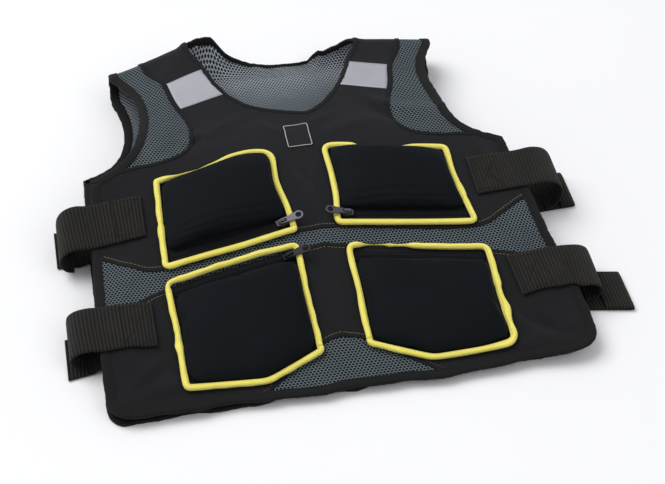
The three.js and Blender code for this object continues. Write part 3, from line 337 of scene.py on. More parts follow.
def inner_face(across, along):
    fold = fold_line(across)
    share = 1 - smoothstep(along, fold, fold + TURN)
    right = np.zeros_like(across)
    ahead = np.zeros_like(across)
    for x, up, to_right, to_ahead, reach in FRONT_SHIFTS:
        dx = across / HEM_HALF - x
        dy = (np.minimum(along, fold) / BODY_LENGTH - up) * (BODY_LENGTH / HEM_HALF)
        weight = share * np.exp(-(dx ** 2 + dy ** 2) / reach ** 2)
        right += weight * to_right * HEM_HALF
        ahead += weight * to_ahead * HEM_HALF
    radius = (front_rise(across, fold) - CLOTH) / 2
    angle = np.pi * np.clip((along - fold) / TURN, 0, 1)
    opened = 2 - 2 * angle / np.pi
    roundness = smoothstep(np.abs(across), 0, NECK_HALF)
    out = opened * (1 - roundness) + np.sin(angle) * roundness
    lift = COLLAR_SHARE * opened ** 2 * (1 - roundness) + (1 + np.cos(angle)) * roundness
    on_front, on_back = along <= fold, along >= fold + TURN
    y = np.where(on_front, along, np.where(on_back, 2 * fold + TURN - along, fold + radius * out))
    z = np.where(on_front, front_rise(across, along),
                 np.where(on_back, CLOTH, CLOTH + radius * lift))
    collar = BODY_LENGTH + TURN / 2
    by_collar = smoothstep(along, collar - COLLAR_FRONT_REACH, collar - COLLAR_CREST)
    by_collar = by_collar * (1 - smoothstep(along, collar, collar + COLLAR_BACK_REACH))
    at, up, back = np.array(COLLAR_FORM, float).T
    z = z + by_collar * np.interp(across, at, up)
    y = y + by_collar * np.interp(across, at, back)
    return np.stack([across + right, y + ahead, z], axis=1)


def drape(points, height):
    """Places of pattern points at heights over the inner face, in the part's frame."""
    across, along = np.asarray(points, float).T
    probe = 0.5
    dx = inner_face(across + probe, along) - inner_face(across - probe, along)
    dy = inner_face(across, along + probe) - inner_face(across, along - probe)
    normal = np.cross(dx, dy)
    normal /= np.linalg.norm(normal, axis=1)[:, None]
    fold = fold_line(across)
    flush = smoothstep(along, fold + TURN * 0.4, fold + TURN * 0.9)
    height = np.broadcast_to(np.asarray(height, float), across.shape)
    over = np.maximum(height - CLOTH, 0) * (1 - flush)
    place = inner_face(across, along) + normal * (np.minimum(height, CLOTH) + over)[:, None]
    place[:, 1] -= BODY_LENGTH / 2
    return place


def pattern_along(across, up):
    return 2 * fold_line(across) + TURN - up


# Outlines, as in the source but with finer steps

def armhole_edge(narrow, tip, underarm, depth):
    rows = [(narrow + t * (tip - narrow) + o * (underarm - narrow), BODY_LENGTH - SHOULDER_DROP - d * depth)
            for d, t, o in ARMHOLE]
    return smooth(rows, 64)


def side_edge(underarm, depth):
    length = BODY_LENGTH - SHOULDER_DROP - depth
    rows = [(HEM_HALF, HEM_CORNER)]
    rows += [(HEM_HALF - i * (HEM_HALF - underarm), u * length) for u, i in SIDE_EDGE]
    return smooth(rows, 60)


def half_edge(back_drop):
    middle_drop = (BACK_DROP_LEFT + BACK_DROP_RIGHT) / 2

    def drop(x):
        return middle_drop + (back_drop - middle_drop) * np.minimum(x / HEM_HALF, 1)

    corner = quadratic((HEM_HALF - HEM_CORNER, 0), (HEM_HALF, 0), (HEM_HALF, HEM_CORNER), 12)
    front = np.vstack([
        corner[:-1], side_edge(UNDERARM_HALF, ARM_DEPTH)[:-1],
        armhole_edge(ARM_NARROW_HALF, SHOULDER_HALF, UNDERARM_HALF, ARM_DEPTH)[::-1],
    ])
    low = np.vstack([[(x, 0) for x in np.linspace(0, HEM_HALF - HEM_CORNER, 40)], corner[1:-1]])
    low[:, 1] -= drop(low[:, 0])
    on_back = np.vstack([
        low, side_edge(BACK_UNDERARM_HALF, BACK_ARM_DEPTH)[:-1],
        armhole_edge(BACK_NARROW_HALF, SHOULDER_HALF, BACK_UNDERARM_HALF, BACK_ARM_DEPTH)[::-1],
    ])[::-1]
    back = np.stack([on_back[:, 0], pattern_along(on_back[:, 0], on_back[:, 1])], axis=1)
    tip = np.stack([np.full(20, SHOULDER_HALF), np.linspace(front[-1, 1], back[0, 1], 22)[1:-1]], axis=1)
    return np.vstack([front, tip, back])


def neck_outline():
    left, right = (smooth([(row[0] * NECK_HALF, BODY_LENGTH - row[k] * NECK_DEPTH) for row in NECKLINE], 60)
                   for k in (1, 2))
    collar = BODY_LENGTH + TURN / 2
    corner = quadratic((NECK_HALF, collar - TURN / 4), (NECK_HALF, collar), (NECK_HALF * 0.7, collar), 12)
    middle = quadratic(corner[-1], (NECK_HALF * 0.35, collar + COLLAR_DIP), (0, collar + COLLAR_DIP), 20)
    left, right = (np.vstack([down[::-1], corner, middle[1:]]) for down in (left, right))
    return np.vstack([right, mirrored(left)[1:-1]])


def band_seam(rows):
    left = smooth([(x * HEM_HALF, a * BODY_LENGTH) for x, a, b in rows], 60)
    right = smooth([(x * HEM_HALF, b * BODY_LENGTH) for x, a, b in rows], 60)
    return np.vstack([mirrored(left), right[1:]])


def with_hem_waves(points):
    """The outline with the small waves of both sewn hems."""
    x, y = points.T
    back_start = 2 * BODY_LENGTH + TURN - 40
    front = (1.2 * np.sin(x / 19 + 0.6) + 0.8 * np.sin(x / 8.3 + 2)) * np.clip(1 - y / 30, 0, 1)
    back = (1.8 * np.sin(x / 15 + 2) + 1.1 * np.sin(x / 6.6 + 1)) * np.clip((y - back_start) / 34, 0, 1)
    return np.stack([x, y + front + back], axis=1)


outline = spaced(np.vstack([half_edge(BACK_DROP_RIGHT), mirrored(half_edge(BACK_DROP_LEFT))]), 3, True)
outline = with_hem_waves(outline)
neck = spaced(neck_outline(), 3, True)
band_top, band_bottom = band_seam(BAND_TOP), band_seam(BAND_BOTTOM)
arm_seam = smooth(
    [(ARM_NARROW_HALF - i * ARM_MESH_WIDTH + o * (UNDERARM_HALF - ARM_NARROW_HALF),
      BODY_LENGTH - SHOULDER_DROP - d * ARM_DEPTH) for d, i, o in ARM_SEAM], 110)
hem_half = smooth([(x * HEM_MESH_HALF, y * HEM_MESH_RISE) for x, y in HEM_SEAM], 40)
hem_seam = np.vstack([mirrored(hem_half), hem_half[1:]])
shoulder_seam = BODY_LENGTH - SHOULDER_DROP / 2 + TURN / 2


# Materials

def linear(code):
    """An sRGB hex code as a linear colour."""
    parts = [int(code[i:i + 2], 16) / 255 for i in (0, 2, 4)]
    return [c / 12.92 if c <= 0.04045 else ((c + 0.055) / 1.055) ** 2.4 for c in parts] + [1.0]


def put(tree, kind, *values, **settings):
    """Adds a node. Values fill its inputs in order, or by name in a dictionary; an output is linked."""
    node = tree.nodes.new(kind)
    for key, value in settings.items():
        setattr(node, key, value)
    named = [(i, v) for i, v in enumerate(values) if not isinstance(v, dict) and v is not None]
    for group in values:
        if isinstance(group, dict):
            named += list(group.items())
    for key, value in named:
        if isinstance(value, bpy.types.NodeSocket):
            tree.links.new(value, node.inputs[key])
        else:
            node.inputs[key].default_value = value
    return node


def sums(tree, operation, *values):
    return put(tree, "ShaderNodeMath", *values, operation=operation).outputs[0]


def mixed(tree, factor, low, high):
    node = put(tree, "ShaderNodeMix", {"Factor": factor}, data_type="RGBA")
    for key, value in ((6, low), (7, high)):
        if isinstance(value, bpy.types.NodeSocket):
            tree.links.new(value, node.inputs[key])
        else:
            node.inputs[key].default_value = value
    return node.outputs[2]


def ramp(tree, value, low, high, to_low=0.0, to_high=1.0):
    return put(tree, "ShaderNodeMapRange", {
        "Value": value, "From Min": low, "From Max": high, "To Min": to_low, "To Max": to_high,
    }, interpolation_type="SMOOTHSTEP").outputs[0]


def noise(tree, place, scale, detail=2.0, rough=0.5):
    return put(tree, "ShaderNodeTexNoise", {
        "Vector": place, "Scale": scale, "Detail": detail, "Roughness": rough,
    }).outputs["Fac"]


def start(name):
    """A new material and its empty node tree."""
    look = bpy.data.materials.new(name)
    look.use_nodes = True
    tree = look.node_tree
    tree.nodes.clear()
    return look, tree


def place_of(tree, by_uv):
    node = put(tree, "ShaderNodeTexCoord")
    return node.outputs["UV" if by_uv else "Object"]


def finish_look(tree, colour, roughness, height, depth, **more):
    """Principled surface with a bump whose depth is in metres."""
    shader = put(tree, "ShaderNodeBsdfPrincipled", {"Base Color": colour, "Roughness": roughness})
    for key, value in more.items():
        shader.inputs[key.replace("_", " ")].default_value = value
    bump = put(tree, "ShaderNodeBump", {"Height": height, "Distance": depth, "Strength": 1.0})
    tree.links.new(bump.outputs[0], shader.inputs["Normal"])
    out = put(tree, "ShaderNodeOutputMaterial")
    tree.links.new(shader.outputs[0], out.inputs["Surface"])


def waves(tree, value, pitch):
    """A wave from 0 to 1 along a coordinate in metres."""
    turned = sums(tree, "MULTIPLY", value, 2 * math.pi / pitch)
    return sums(tree, "MULTIPLY_ADD", sums(tree, "SINE", turned), 0.5, 0.5)


def plain_weave(name, dark, light, pitch, depth, roughness, sheen):
    """Plain woven cloth: threads that cross at a pitch, broad clouds and small flecks."""
    look, tree = start(name)
    uv = place_of(tree, True)
    axes = put(tree, "ShaderNodeSeparateXYZ", uv)
    over = waves(tree, axes.outputs[0], 2 * pitch)
    under = waves(tree, axes.outputs[1], 2 * pitch)
    check = sums(tree, "ABSOLUTE", sums(tree, "SUBTRACT", over, under))
    warp = waves(tree, axes.outputs[0], pitch)
    weft = waves(tree, axes.outputs[1], pitch)
    threads = sums(tree, "MULTIPLY_ADD", check, sums(tree, "SUBTRACT", warp, weft), weft)
    slub = noise(tree, uv, 1400, 2)
    height = sums(tree, "MULTIPLY_ADD", slub, 0.4, threads)
    cloud = noise(tree, uv, 22, 5, 0.6)
    fleck = noise(tree, uv, 650, 3, 0.7)
    shade = sums(tree, "MULTIPLY_ADD", threads, 0.3, sums(tree, "MULTIPLY_ADD", cloud, 0.5, sums(
        tree, "MULTIPLY_ADD", fleck, 1.1, -0.5)))
    colour = mixed(tree, shade, linear(dark), linear(light))
    finish_look(tree, colour, roughness, height, depth, Sheen_Weight=sheen, Sheen_Roughness=0.5,
                Sheen_Tint=(0.75, 0.78, 0.9, 1), Specular_IOR_Level=0.18)
    return look


def spacer_mesh(name, near, across, along, size, far=None, fade=(0.48, 0.545)):
    """Warp-knit mesh: staggered rows of rounded holes between soft strands.

    near and far are the colours of dark strands, light strands and holes, and the hole colour is painted
    shade.
    Up the pattern far takes over from near, between the two places of fade; there near is painted as lit and
    far as in shade."""
    look, tree = start(name)
    uv = place_of(tree, True)
    wobble = put(tree, "ShaderNodeTexNoise", {"Vector": uv, "Scale": 220, "Detail": 1.0})
    drift = put(tree, "ShaderNodeVectorMath", wobble.outputs["Color"], (0.5, 0.5, 0.5), operation="SUBTRACT")
    small = put(tree, "ShaderNodeVectorMath", drift.outputs[0], {"Scale": 0.00035}, operation="SCALE")
    place = put(tree, "ShaderNodeVectorMath", uv, small.outputs[0], operation="ADD")
    axes = put(tree, "ShaderNodeSeparateXYZ", place.outputs[0])
    u = sums(tree, "DIVIDE", axes.outputs[0], across)
    v = sums(tree, "DIVIDE", axes.outputs[1], 2 * along)

    def away(shift):
        du, dv = (sums(tree, "ABSOLUTE", sums(tree, "SUBTRACT", sums(
            tree, "FRACT", sums(tree, "ADD", w, shift)), 0.5)) for w in (u, v))
        wide = sums(tree, "MULTIPLY", du, 2.0)
        tall = sums(tree, "MULTIPLY", dv, 3.3)
        round_part = sums(tree, "SQRT", sums(
            tree, "ADD", sums(tree, "POWER", wide, 2.0), sums(tree, "POWER", tall, 2.0)))
        diamond = sums(tree, "ADD", wide, tall)
        return sums(tree, "MULTIPLY_ADD", diamond, 0.45, sums(tree, "MULTIPLY", round_part, 0.55))

    nearest = sums(tree, "MINIMUM", away(0.0), away(0.5))
    strand = ramp(tree, nearest, size * 0.83, size * 1.01)
    ridge = ramp(tree, nearest, size * 0.8, 1.15)
    fuzz = noise(tree, uv, 2600, 3, 0.7)
    cloud = noise(tree, uv, 30, 3)
    tone = sums(tree, "MULTIPLY_ADD", fuzz, 0.7, sums(tree, "MULTIPLY_ADD", cloud, 0.5, -0.15))
    colours = [linear(c) for c in near]
    # Painted light and shade: near holds lit colours, and where far is given its shaded colours take over
    # further along the pattern, down the back
    if far:
        up = ramp(tree, put(tree, "ShaderNodeSeparateXYZ", uv).outputs[1], *fade)
        colours = [mixed(tree, up, linear(a), linear(b)) for a, b in zip(near, far)]
    yarn = mixed(tree, tone, colours[0], colours[1])
    # The hole colour is painted shade, standing for the shade inside the holes
    colour = mixed(tree, strand, colours[2], yarn)
    height = sums(tree, "MULTIPLY_ADD", fuzz, 0.18, ridge)
    finish_look(tree, colour, 0.8, height, 0.0007, Sheen_Weight=0.1, Sheen_Roughness=0.4,
                Specular_IOR_Level=0.25)
    return look


def ribbed_tape(name, dark, light, pitch, depth, roughness, sheen):
    """Narrow woven tape: ribs across its length, which runs along u."""
    look, tree = start(name)
    uv = place_of(tree, True)
    axes = put(tree, "ShaderNodeSeparateXYZ", uv)
    ends = waves(tree, axes.outputs[1], 0.0012)
    step = ramp(tree, ends, 0.42, 0.58, 0.0, 0.6)
    turned = sums(tree, "MULTIPLY", axes.outputs[0], 2 * math.pi / pitch)
    rib = sums(tree, "MULTIPLY_ADD", sums(tree, "SINE", sums(tree, "ADD", turned, step)), 0.5, 0.5)
    yarn = noise(tree, uv, 1900, 2, 0.6)
    cloud = noise(tree, uv, 45, 3)
    height = sums(tree, "MULTIPLY_ADD", yarn, 0.3, sums(tree, "POWER", rib, 0.7))
    shade = sums(tree, "MULTIPLY_ADD", rib, 0.5, sums(tree, "MULTIPLY_ADD", yarn, 0.35, sums(
        tree, "MULTIPLY_ADD", cloud, 0.3, -0.15)))
    colour = mixed(tree, shade, linear(dark), linear(light))
    finish_look(tree, colour, roughness, height, depth, Sheen_Weight=sheen, Sheen_Roughness=0.4,
                Specular_IOR_Level=0.2)
    return look


def knit_face(name, dark, light, roughness, sheen):
    """Smooth foam-backed knit of the filled pockets, on object coordinates."""
    look, tree = start(name)
    at = place_of(tree, False)
    fine = noise(tree, at, 2400, 2, 0.6)
    loops = put(tree, "ShaderNodeTexVoronoi", {"Vector": at, "Scale": 1500.0}).outputs["Distance"]
    cloud = noise(tree, at, 26, 3, 0.55)
    lint = ramp(tree, noise(tree, at, 420, 4, 0.75), 0.7, 0.78)
    shade = sums(tree, "MULTIPLY_ADD", cloud, 0.7, sums(tree, "MULTIPLY_ADD", fine, 0.35, -0.2))
    colour = mixed(tree, sums(tree, "MULTIPLY", lint, 0.25), mixed(
        tree, shade, linear(dark), linear(light)), linear("242b33"))
    height = sums(tree, "MULTIPLY_ADD", fine, 0.5, loops)
    finish_look(tree, colour, roughness, height, 0.00012, Sheen_Weight=sheen, Sheen_Roughness=0.35,
                Sheen_Tint=(0.6, 0.75, 0.9, 1), Specular_IOR_Level=0.1)
    return look


def cord_cloth(name, dark, light, shadow):
    """Satin cloth over the piping cord, with a fine twill, small creases, random darker patches and painted
    shade along one crease line.
    """
    look, tree = start(name)
    uv = place_of(tree, True)
    axes = put(tree, "ShaderNodeSeparateXYZ", uv)
    slant = sums(tree, "ADD", axes.outputs[0], axes.outputs[1])
    twill = waves(tree, slant, 0.00055)
    long_scale = put(tree, "ShaderNodeMapping", {"Vector": uv, "Scale": (90, 520, 1)}).outputs[0]
    pucker = noise(tree, long_scale, 1.0, 3, 0.6)
    cloud = noise(tree, uv, 60, 3)
    # Random darker patches, mixed towards the shadow colour
    dark_patches_and_crease_shade = ramp(tree, noise(tree, uv, 210, 4, 0.7), 0.6, 0.78)
    # Painted shade: a thin line along the cord near its top, darkened towards the shadow colour
    fold = sums(tree, "ABSOLUTE", sums(tree, "SUBTRACT", axes.outputs[1], sums(
        tree, "MULTIPLY_ADD", cloud, 0.0014, 0.0052)))
    crease_shade = ramp(tree, fold, 0.0001, 0.0006, 0.9, 0.0)
    dark_patches_and_crease_shade = sums(tree, "MAXIMUM", dark_patches_and_crease_shade, crease_shade)
    base = mixed(tree, sums(tree, "MULTIPLY_ADD", cloud, 0.8, sums(
        tree, "MULTIPLY_ADD", pucker, 0.5, -0.15)), linear(dark), linear(light))
    colour = mixed(tree, sums(tree, "MULTIPLY", dark_patches_and_crease_shade, 0.5), base, linear(shadow))
    height = sums(tree, "MULTIPLY_ADD", pucker, 2.5, sums(tree, "MULTIPLY", twill, 0.25))
    finish_look(tree, colour, 0.5, height, 0.0004, Sheen_Weight=0.3, Sheen_Roughness=0.5)
    return look


def bead_cloth(name, dark, light):
    """Retro-reflective cloth: grey coat full of glass beads, faintly cracked."""
    look, tree = start(name)
    uv = place_of(tree, True)
    beads = put(tree, "ShaderNodeTexVoronoi", {"Vector": uv, "Scale": 5200.0}).outputs["Distance"]
    cloud = noise(tree, uv, 50, 3)
    fine = noise(tree, uv, 700, 3, 0.7)
    shade = sums(tree, "MULTIPLY_ADD", cloud, 0.5, sums(tree, "MULTIPLY", fine, 0.5))
    colour = mixed(tree, shade, linear(dark), linear(light))
    finish_look(tree, colour, 0.5, sums(tree, "MULTIPLY_ADD", fine, 0.5, beads), 0.00008,
                Metallic=0.25, Specular_IOR_Level=0.6)
    return look


def cast_metal(name, dark, light):
    """Dark plated die casting with brushed wear and small pits."""
    look, tree = start(name)
    at = place_of(tree, False)
    cloud = noise(tree, at, 320, 4, 0.6)
    pits = noise(tree, at, 1800, 3, 0.7)
    scratch_at = put(tree, "ShaderNodeMapping", {"Vector": at, "Scale": (400, 3000, 400)}).outputs[0]
    scratch = noise(tree, scratch_at, 1.0, 2)
    colour = mixed(tree, cloud, linear(dark), linear(light))
    rough = ramp(tree, cloud, 0.3, 0.7, 0.36, 0.55)
    finish_look(tree, colour, rough, sums(tree, "MULTIPLY_ADD", scratch, 0.5, pits), 0.00005, Metallic=0.9)
    return look


def thread(name, dark, light):
    look, tree = start(name)
    at = place_of(tree, False)
    twist = noise(tree, at, 2600, 2)
    colour = mixed(tree, twist, linear(dark), linear(light))
    finish_look(tree, colour, 0.75, twist, 0.0001, Specular_IOR_Level=0.15)
    return look


def floor_paint(name, tone, shade):
    look, tree = start(name)
    at = place_of(tree, False)
    cloud = noise(tree, at, 1.6, 2)
    colour = mixed(tree, cloud, linear(shade), linear(tone))
    finish_look(tree, colour, 0.75, noise(tree, at, 160, 2), 0.00005)
    return look


# Textured polyester cloth: matt and near black, with faint flecks. Its threads and those of the label
# are drawn coarser than the real ones, so that they show.
WOVEN = plain_weave("woven_polyester_charcoal", "070708", "1c1c1f", pitch=0.0007, depth=0.0003,
                    roughness=0.8, sheen=0.08)
LABEL = plain_weave("satin_label_black", "0c0c0e", "1b1b1f", pitch=0.0004, depth=0.00006,
                    roughness=0.6, sheen=0.05)
# Knitted polyester spacer mesh: grey-teal strands around holes painted black as shade on the front, and paler
# behind the neck, where the holes show more mesh, painted as lit near the neck and in painted shade further
# down
MESH = spacer_mesh("spacer_mesh_teal_grey_shaded_holes", ("4a5a61", "8e9ea7", "010202"), 0.0033, 0.0026, size=0.95)
BACK_MESH = spacer_mesh("spacer_mesh_inner_grey_lit_and_shaded", ("818c94", "dce3ea", "1f2429"), 0.0033, 0.0026,
                        size=0.85, far=("5e6970", "7b868e", "434c53"))
# Grosgrain, zip tape and polypropylene webbing: dull black with fine ribs across
TAPE = ribbed_tape("grosgrain_tape_black", "040404", "1f1f20", pitch=0.0016, depth=0.0004,
                   roughness=0.78, sheen=0.05)
SEAM_TAPE = ribbed_tape("flat_seam_tape_black", "09090b", "1c1c1f", pitch=0.0012, depth=0.00012,
                        roughness=0.8, sheen=0.05)
ZIP_TAPE = ribbed_tape("zip_tape_knit_black", "07080a", "121318", pitch=0.0012, depth=0.00015,
                       roughness=0.85, sheen=0.0)
WEBBING = ribbed_tape("ribbed_webbing_black", "010101", "37342f", pitch=0.0032, depth=0.0014,
                      roughness=0.75, sheen=0.04)
# Neoprene with a laminated knit: smooth, blue-black, almost without shine
NEOPRENE = knit_face("neoprene_knit_blue_black", "080b0f", "11161c", roughness=0.75, sheen=0.04)
# Satin over cord: lemon yellow with a soft shine, random darker patches and painted shade along one crease
# line
PIPING = cord_cloth("satin_piping_yellow", "f8e24a", "fffb7e", "a89030")
# Glass beads on grey cloth: an even silver without glare
REFLECTIVE = bead_cloth("reflective_bead_cloth", "9a9aa2", "b4b4bc")
# Plated zinc castings: worn gunmetal, and one blackened set
METAL = cast_metal("plated_die_casting_gunmetal", "403f45", "77757d")
DARK_METAL = cast_metal("blackened_die_casting", "1c1a1d", "39353a")
# Nylon coil and sewing threads
COIL = thread("nylon_coil_black", "0c0b0f", "26242b")
BLACK_THREAD = thread("black_polyester_thread", "09090a", "232326")
STRAP_THREAD = thread("brown_black_bonded_thread", "0a0908", "1d1b18")
GOLD_THREAD = thread("sand_polyester_thread", "5d5436", "a39665")
PALE_THREAD = thread("pale_satin_stitch", "8f8f8b", "c9c9c4")


# Meshes

def add_piece(name, mesh):
    """An object of a mesh, which rides on the vest."""
    piece = bpy.data.objects.new(name, mesh)
    bpy.context.scene.collection.objects.link(piece)
    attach(piece, "vest")
    return piece


def paint(mesh, looks):
    """Gives a mesh its materials, all faces the first, and smooth shading."""
    mesh.materials.clear()
    for look in looks:
        mesh.materials.append(look)
    mesh.polygons.foreach_set("material_index", [0] * len(mesh.polygons))
    mesh.polygons.foreach_set("use_smooth", [True] * len(mesh.polygons))


def make(name, points, faces, look, uvs):
    """A piece from points in millimetres, with a place in the flat pattern for each of them."""
    mesh = bpy.data.meshes.new(name)
    mesh.from_pydata((np.asarray(points) / 1000).tolist(), [], [tuple(int(k) for k in f) for f in faces])
    mesh.validate()
    layer = mesh.uv_layers.new(name="pattern")
    corners = np.empty(len(mesh.loops), int)
    mesh.loops.foreach_get("vertex_index", corners)
    layer.data.foreach_set("uv", (np.asarray(uvs)[corners] / 1000).ravel())
    paint(mesh, [look])
    return add_piece(name, mesh)


def triangles_in(regions, holes, step):
    """Triangles inside every region and outside every hole, on a lattice that keeps the edges."""
    lines = [np.asarray(line, float) for line in [*regions, *holes]]
    low = np.max([line.min(axis=0) for line in lines[:len(regions)]], axis=0)
    high = np.min([line.max(axis=0) for line in lines[:len(regions)]], axis=0)
    rows = np.arange(low[1] + step / 3, high[1], step * 0.87)
    stations = [np.arange(low[0] + step / 3 + (i % 2) * step / 2, high[0], step) for i in range(len(rows))]
    lattice = np.vstack([np.stack([xs, np.full(len(xs), y)], axis=1) for xs, y in zip(stations, rows)])

    def wanted(points):
        keep = np.ones(len(points), bool)
        for k, line in enumerate(lines):
            keep &= inside(points, line) == (k < len(regions))
        return keep

    lattice = lattice[wanted(lattice)]
    near = np.vstack([spaced(line, step * 0.5, True) for line in lines])
    tree = {}
    for x, y in near:
        tree.setdefault((int(x // step), int(y // step)), []).append((x, y))
    clear = []
    for x, y in lattice:
        i, j = int(x // step), int(y // step)
        close = [p for a in (i - 1, i, i + 1) for b in (j - 1, j, j + 1) for p in tree.get((a, b), ())]
        clear.append(all((x - p[0]) ** 2 + (y - p[1]) ** 2 > (step * 0.4) ** 2 for p in close))
    lattice = lattice[np.array(clear, bool)] if len(lattice) else lattice
    points, edges = [], []
    for line in lines:
        first = len(points)
        points += [Vector(p) for p in line]
        edges += [(first + i, first + (i + 1) % len(line)) for i in range(len(line))]
    points += [Vector(p) for p in lattice]
    places, _, faces, _, _, _ = delaunay_2d_cdt(points, edges, [], 0, 1e-4)
    places = np.array([tuple(p) for p in places])
    faces = np.array([f for f in faces if len(f) == 3])
    faces = faces[wanted(places[faces].mean(axis=1))]
    used = np.unique(faces)
    renumber = np.full(len(places), -1)
    renumber[used] = np.arange(len(used))
    places, faces = places[used], renumber[faces]
    turned = double_areas(places, faces)
    faces[turned < 0] = faces[turned < 0][:, ::-1]
    return places, faces[np.abs(turned) > 1e-7]


def double_areas(places, faces):
    """Twice the area of each triangle, below zero where it runs clockwise."""
    a, b, c = (places[faces[:, k]] for k in range(3))
    return (b[:, 0] - a[:, 0]) * (c[:, 1] - a[:, 1]) - (b[:, 1] - a[:, 1]) * (c[:, 0] - a[:, 0])


def slab(name, places, faces, low, high, look):
    """A closed sheet over triangles of the pattern, between two heights over the inner face."""
    top, bottom = drape(places, high), drape(places, low)
    count = len(places)
    sides = np.vstack([faces[:, [0, 1]], faces[:, [1, 2]], faces[:, [2, 0]]])
    seen = {tuple(e) for e in sides.tolist()}
    rim = [(a, b) for a, b in seen if (b, a) not in seen]
    shell = faces.tolist() + (faces[:, ::-1] + count).tolist()
    shell += [(a, a + count, b + count, b) for a, b in rim]
    return make(name, np.vstack([top, bottom]), shell, look, np.vstack([places, places]))


def panel(name, replaced, region, holes, top, look, spacing=4, step=4.0):
    """A cut piece of cloth inside the bound edge, which stands for its CAD node."""
    places, faces = triangles_in([inner_edge, spaced(region, spacing, True)], holes, step)
    piece = slab(name, places, faces, 0.0, top, look)
    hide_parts(replaced)


def swept(name, path, section, look, closed=True, wave=None):
    """A band along a line of the pattern. The section's points are (to the right, height)."""
    normal, mitre = outward(path, closed)
    count, sides = len(path), len(section)
    run = np.r_[0, np.cumsum(np.linalg.norm(np.diff(path, axis=0), axis=1))]
    around = np.r_[0, np.cumsum(np.linalg.norm(np.diff(np.array(section), axis=0), axis=1))]
    points, uvs = [], []
    for j, (side, height) in enumerate(section):
        shift, lift = (0, 0) if wave is None else wave(run, side, height)
        at = path + normal * ((side + shift) * mitre)[:, None]
        points.append(drape(at, height + lift))
        uvs.append(np.stack([run, np.full(count, around[j])], axis=1))
    points = np.stack(points, axis=1).reshape(-1, 3)
    uvs = np.stack(uvs, axis=1).reshape(-1, 2)
    faces = []
    for i in range(count if closed else count - 1):
        n = (i + 1) % count
        for j in range(sides):
            k = (j + 1) % sides
            faces.append((i * sides + j, i * sides + k, n * sides + k, n * sides + j))
    if not closed:
        faces.append(tuple(range(sides))[::-1])
        faces.append(tuple((count - 1) * sides + j for j in range(sides)))
    return make(name, points, facing_out(points, faces), look, uvs)


def facing_out(points, faces):
    """The faces, turned round where they enclose a negative volume."""
    volume = 0.0
    for f in faces:
        a = points[f[0]]
        for p, q in zip(f[1:-1], f[2:]):
            volume += np.dot(a, np.cross(points[p], points[q]))
    return [f[::-1] for f in faces] if volume < 0 else faces


def grid_piece(name, low, high, look, uvs):
    """A closed piece between two grids of points, [row][station]."""
    rows, columns = low.shape[:2]
    points = np.vstack([low.reshape(-1, 3), high.reshape(-1, 3)])
    half = rows * columns
    faces = []
    for i in range(rows - 1):
        for j in range(columns - 1):
            a, b = i * columns + j, i * columns + j + 1
            c, d = b + columns, a + columns
            faces += [(a, d, c, b), (half + a, half + b, half + c, half + d)]
    ring = [j for j in range(columns)]
    ring += [i * columns + columns - 1 for i in range(1, rows)]
    ring += [(rows - 1) * columns + j for j in range(columns - 2, -1, -1)]
    ring += [i * columns for i in range(rows - 2, 0, -1)]
    for a, b in zip(ring, ring[1:] + ring[:1]):
        faces.append((a, b, half + b, half + a))
    flat = uvs.reshape(-1, 2)
    return make(name, points, facing_out(points, faces), look, np.vstack([flat, flat]))


# Repeats, placed by Geometry Nodes on points that carry their own heading and normal

def repeat_tree(look):
    tree = bpy.data.node_groups.new("repeat_" + look.name, "GeometryNodeTree")
    """Geometry Nodes tree that sets a shape on every point, a little uneven in size."""
    sockets = {"Geometry": "NodeSocketGeometry", "Shape": "NodeSocketObject",
               "Unevenness": "NodeSocketFloat", "Seed": "NodeSocketInt"}
    for label, kind in sockets.items():
        tree.interface.new_socket(label, in_out="INPUT", socket_type=kind)
    tree.interface.new_socket("Geometry", in_out="OUTPUT", socket_type="NodeSocketGeometry")
    given = put(tree, "NodeGroupInput").outputs
    heading = put(tree, "GeometryNodeInputNamedAttribute", "heading", data_type="FLOAT_VECTOR").outputs[0]
    normal = put(tree, "GeometryNodeInputNamedAttribute", "off", data_type="FLOAT_VECTOR").outputs[0]
    along = put(tree, "FunctionNodeAlignRotationToVector", {"Vector": heading}, axis="X").outputs[0]
    turned = put(tree, "FunctionNodeAlignRotationToVector", {"Rotation": along, "Vector": normal},
                 axis="Z", pivot_axis="X").outputs[0]
    low = sums(tree, "SUBTRACT", 1.0, given["Unevenness"])
    high = sums(tree, "ADD", 1.0, given["Unevenness"])
    size = put(tree, "FunctionNodeRandomValue", data_type="FLOAT")
    tree.links.new(low, size.inputs[2])
    tree.links.new(high, size.inputs[3])
    tree.links.new(given["Seed"], size.inputs["Seed"])
    shape = put(tree, "GeometryNodeObjectInfo", {"Object": given["Shape"]})
    placed = put(tree, "GeometryNodeInstanceOnPoints", {
        "Points": given["Geometry"], "Instance": shape.outputs["Geometry"], "Rotation": turned,
        "Scale": size.outputs[1],
    })
    real = put(tree, "GeometryNodeRealizeInstances", placed.outputs[0])
    painted = put(tree, "GeometryNodeSetMaterial", {"Geometry": real.outputs[0], "Material": look})
    put(tree, "NodeGroupOutput", painted.outputs[0])
    return tree


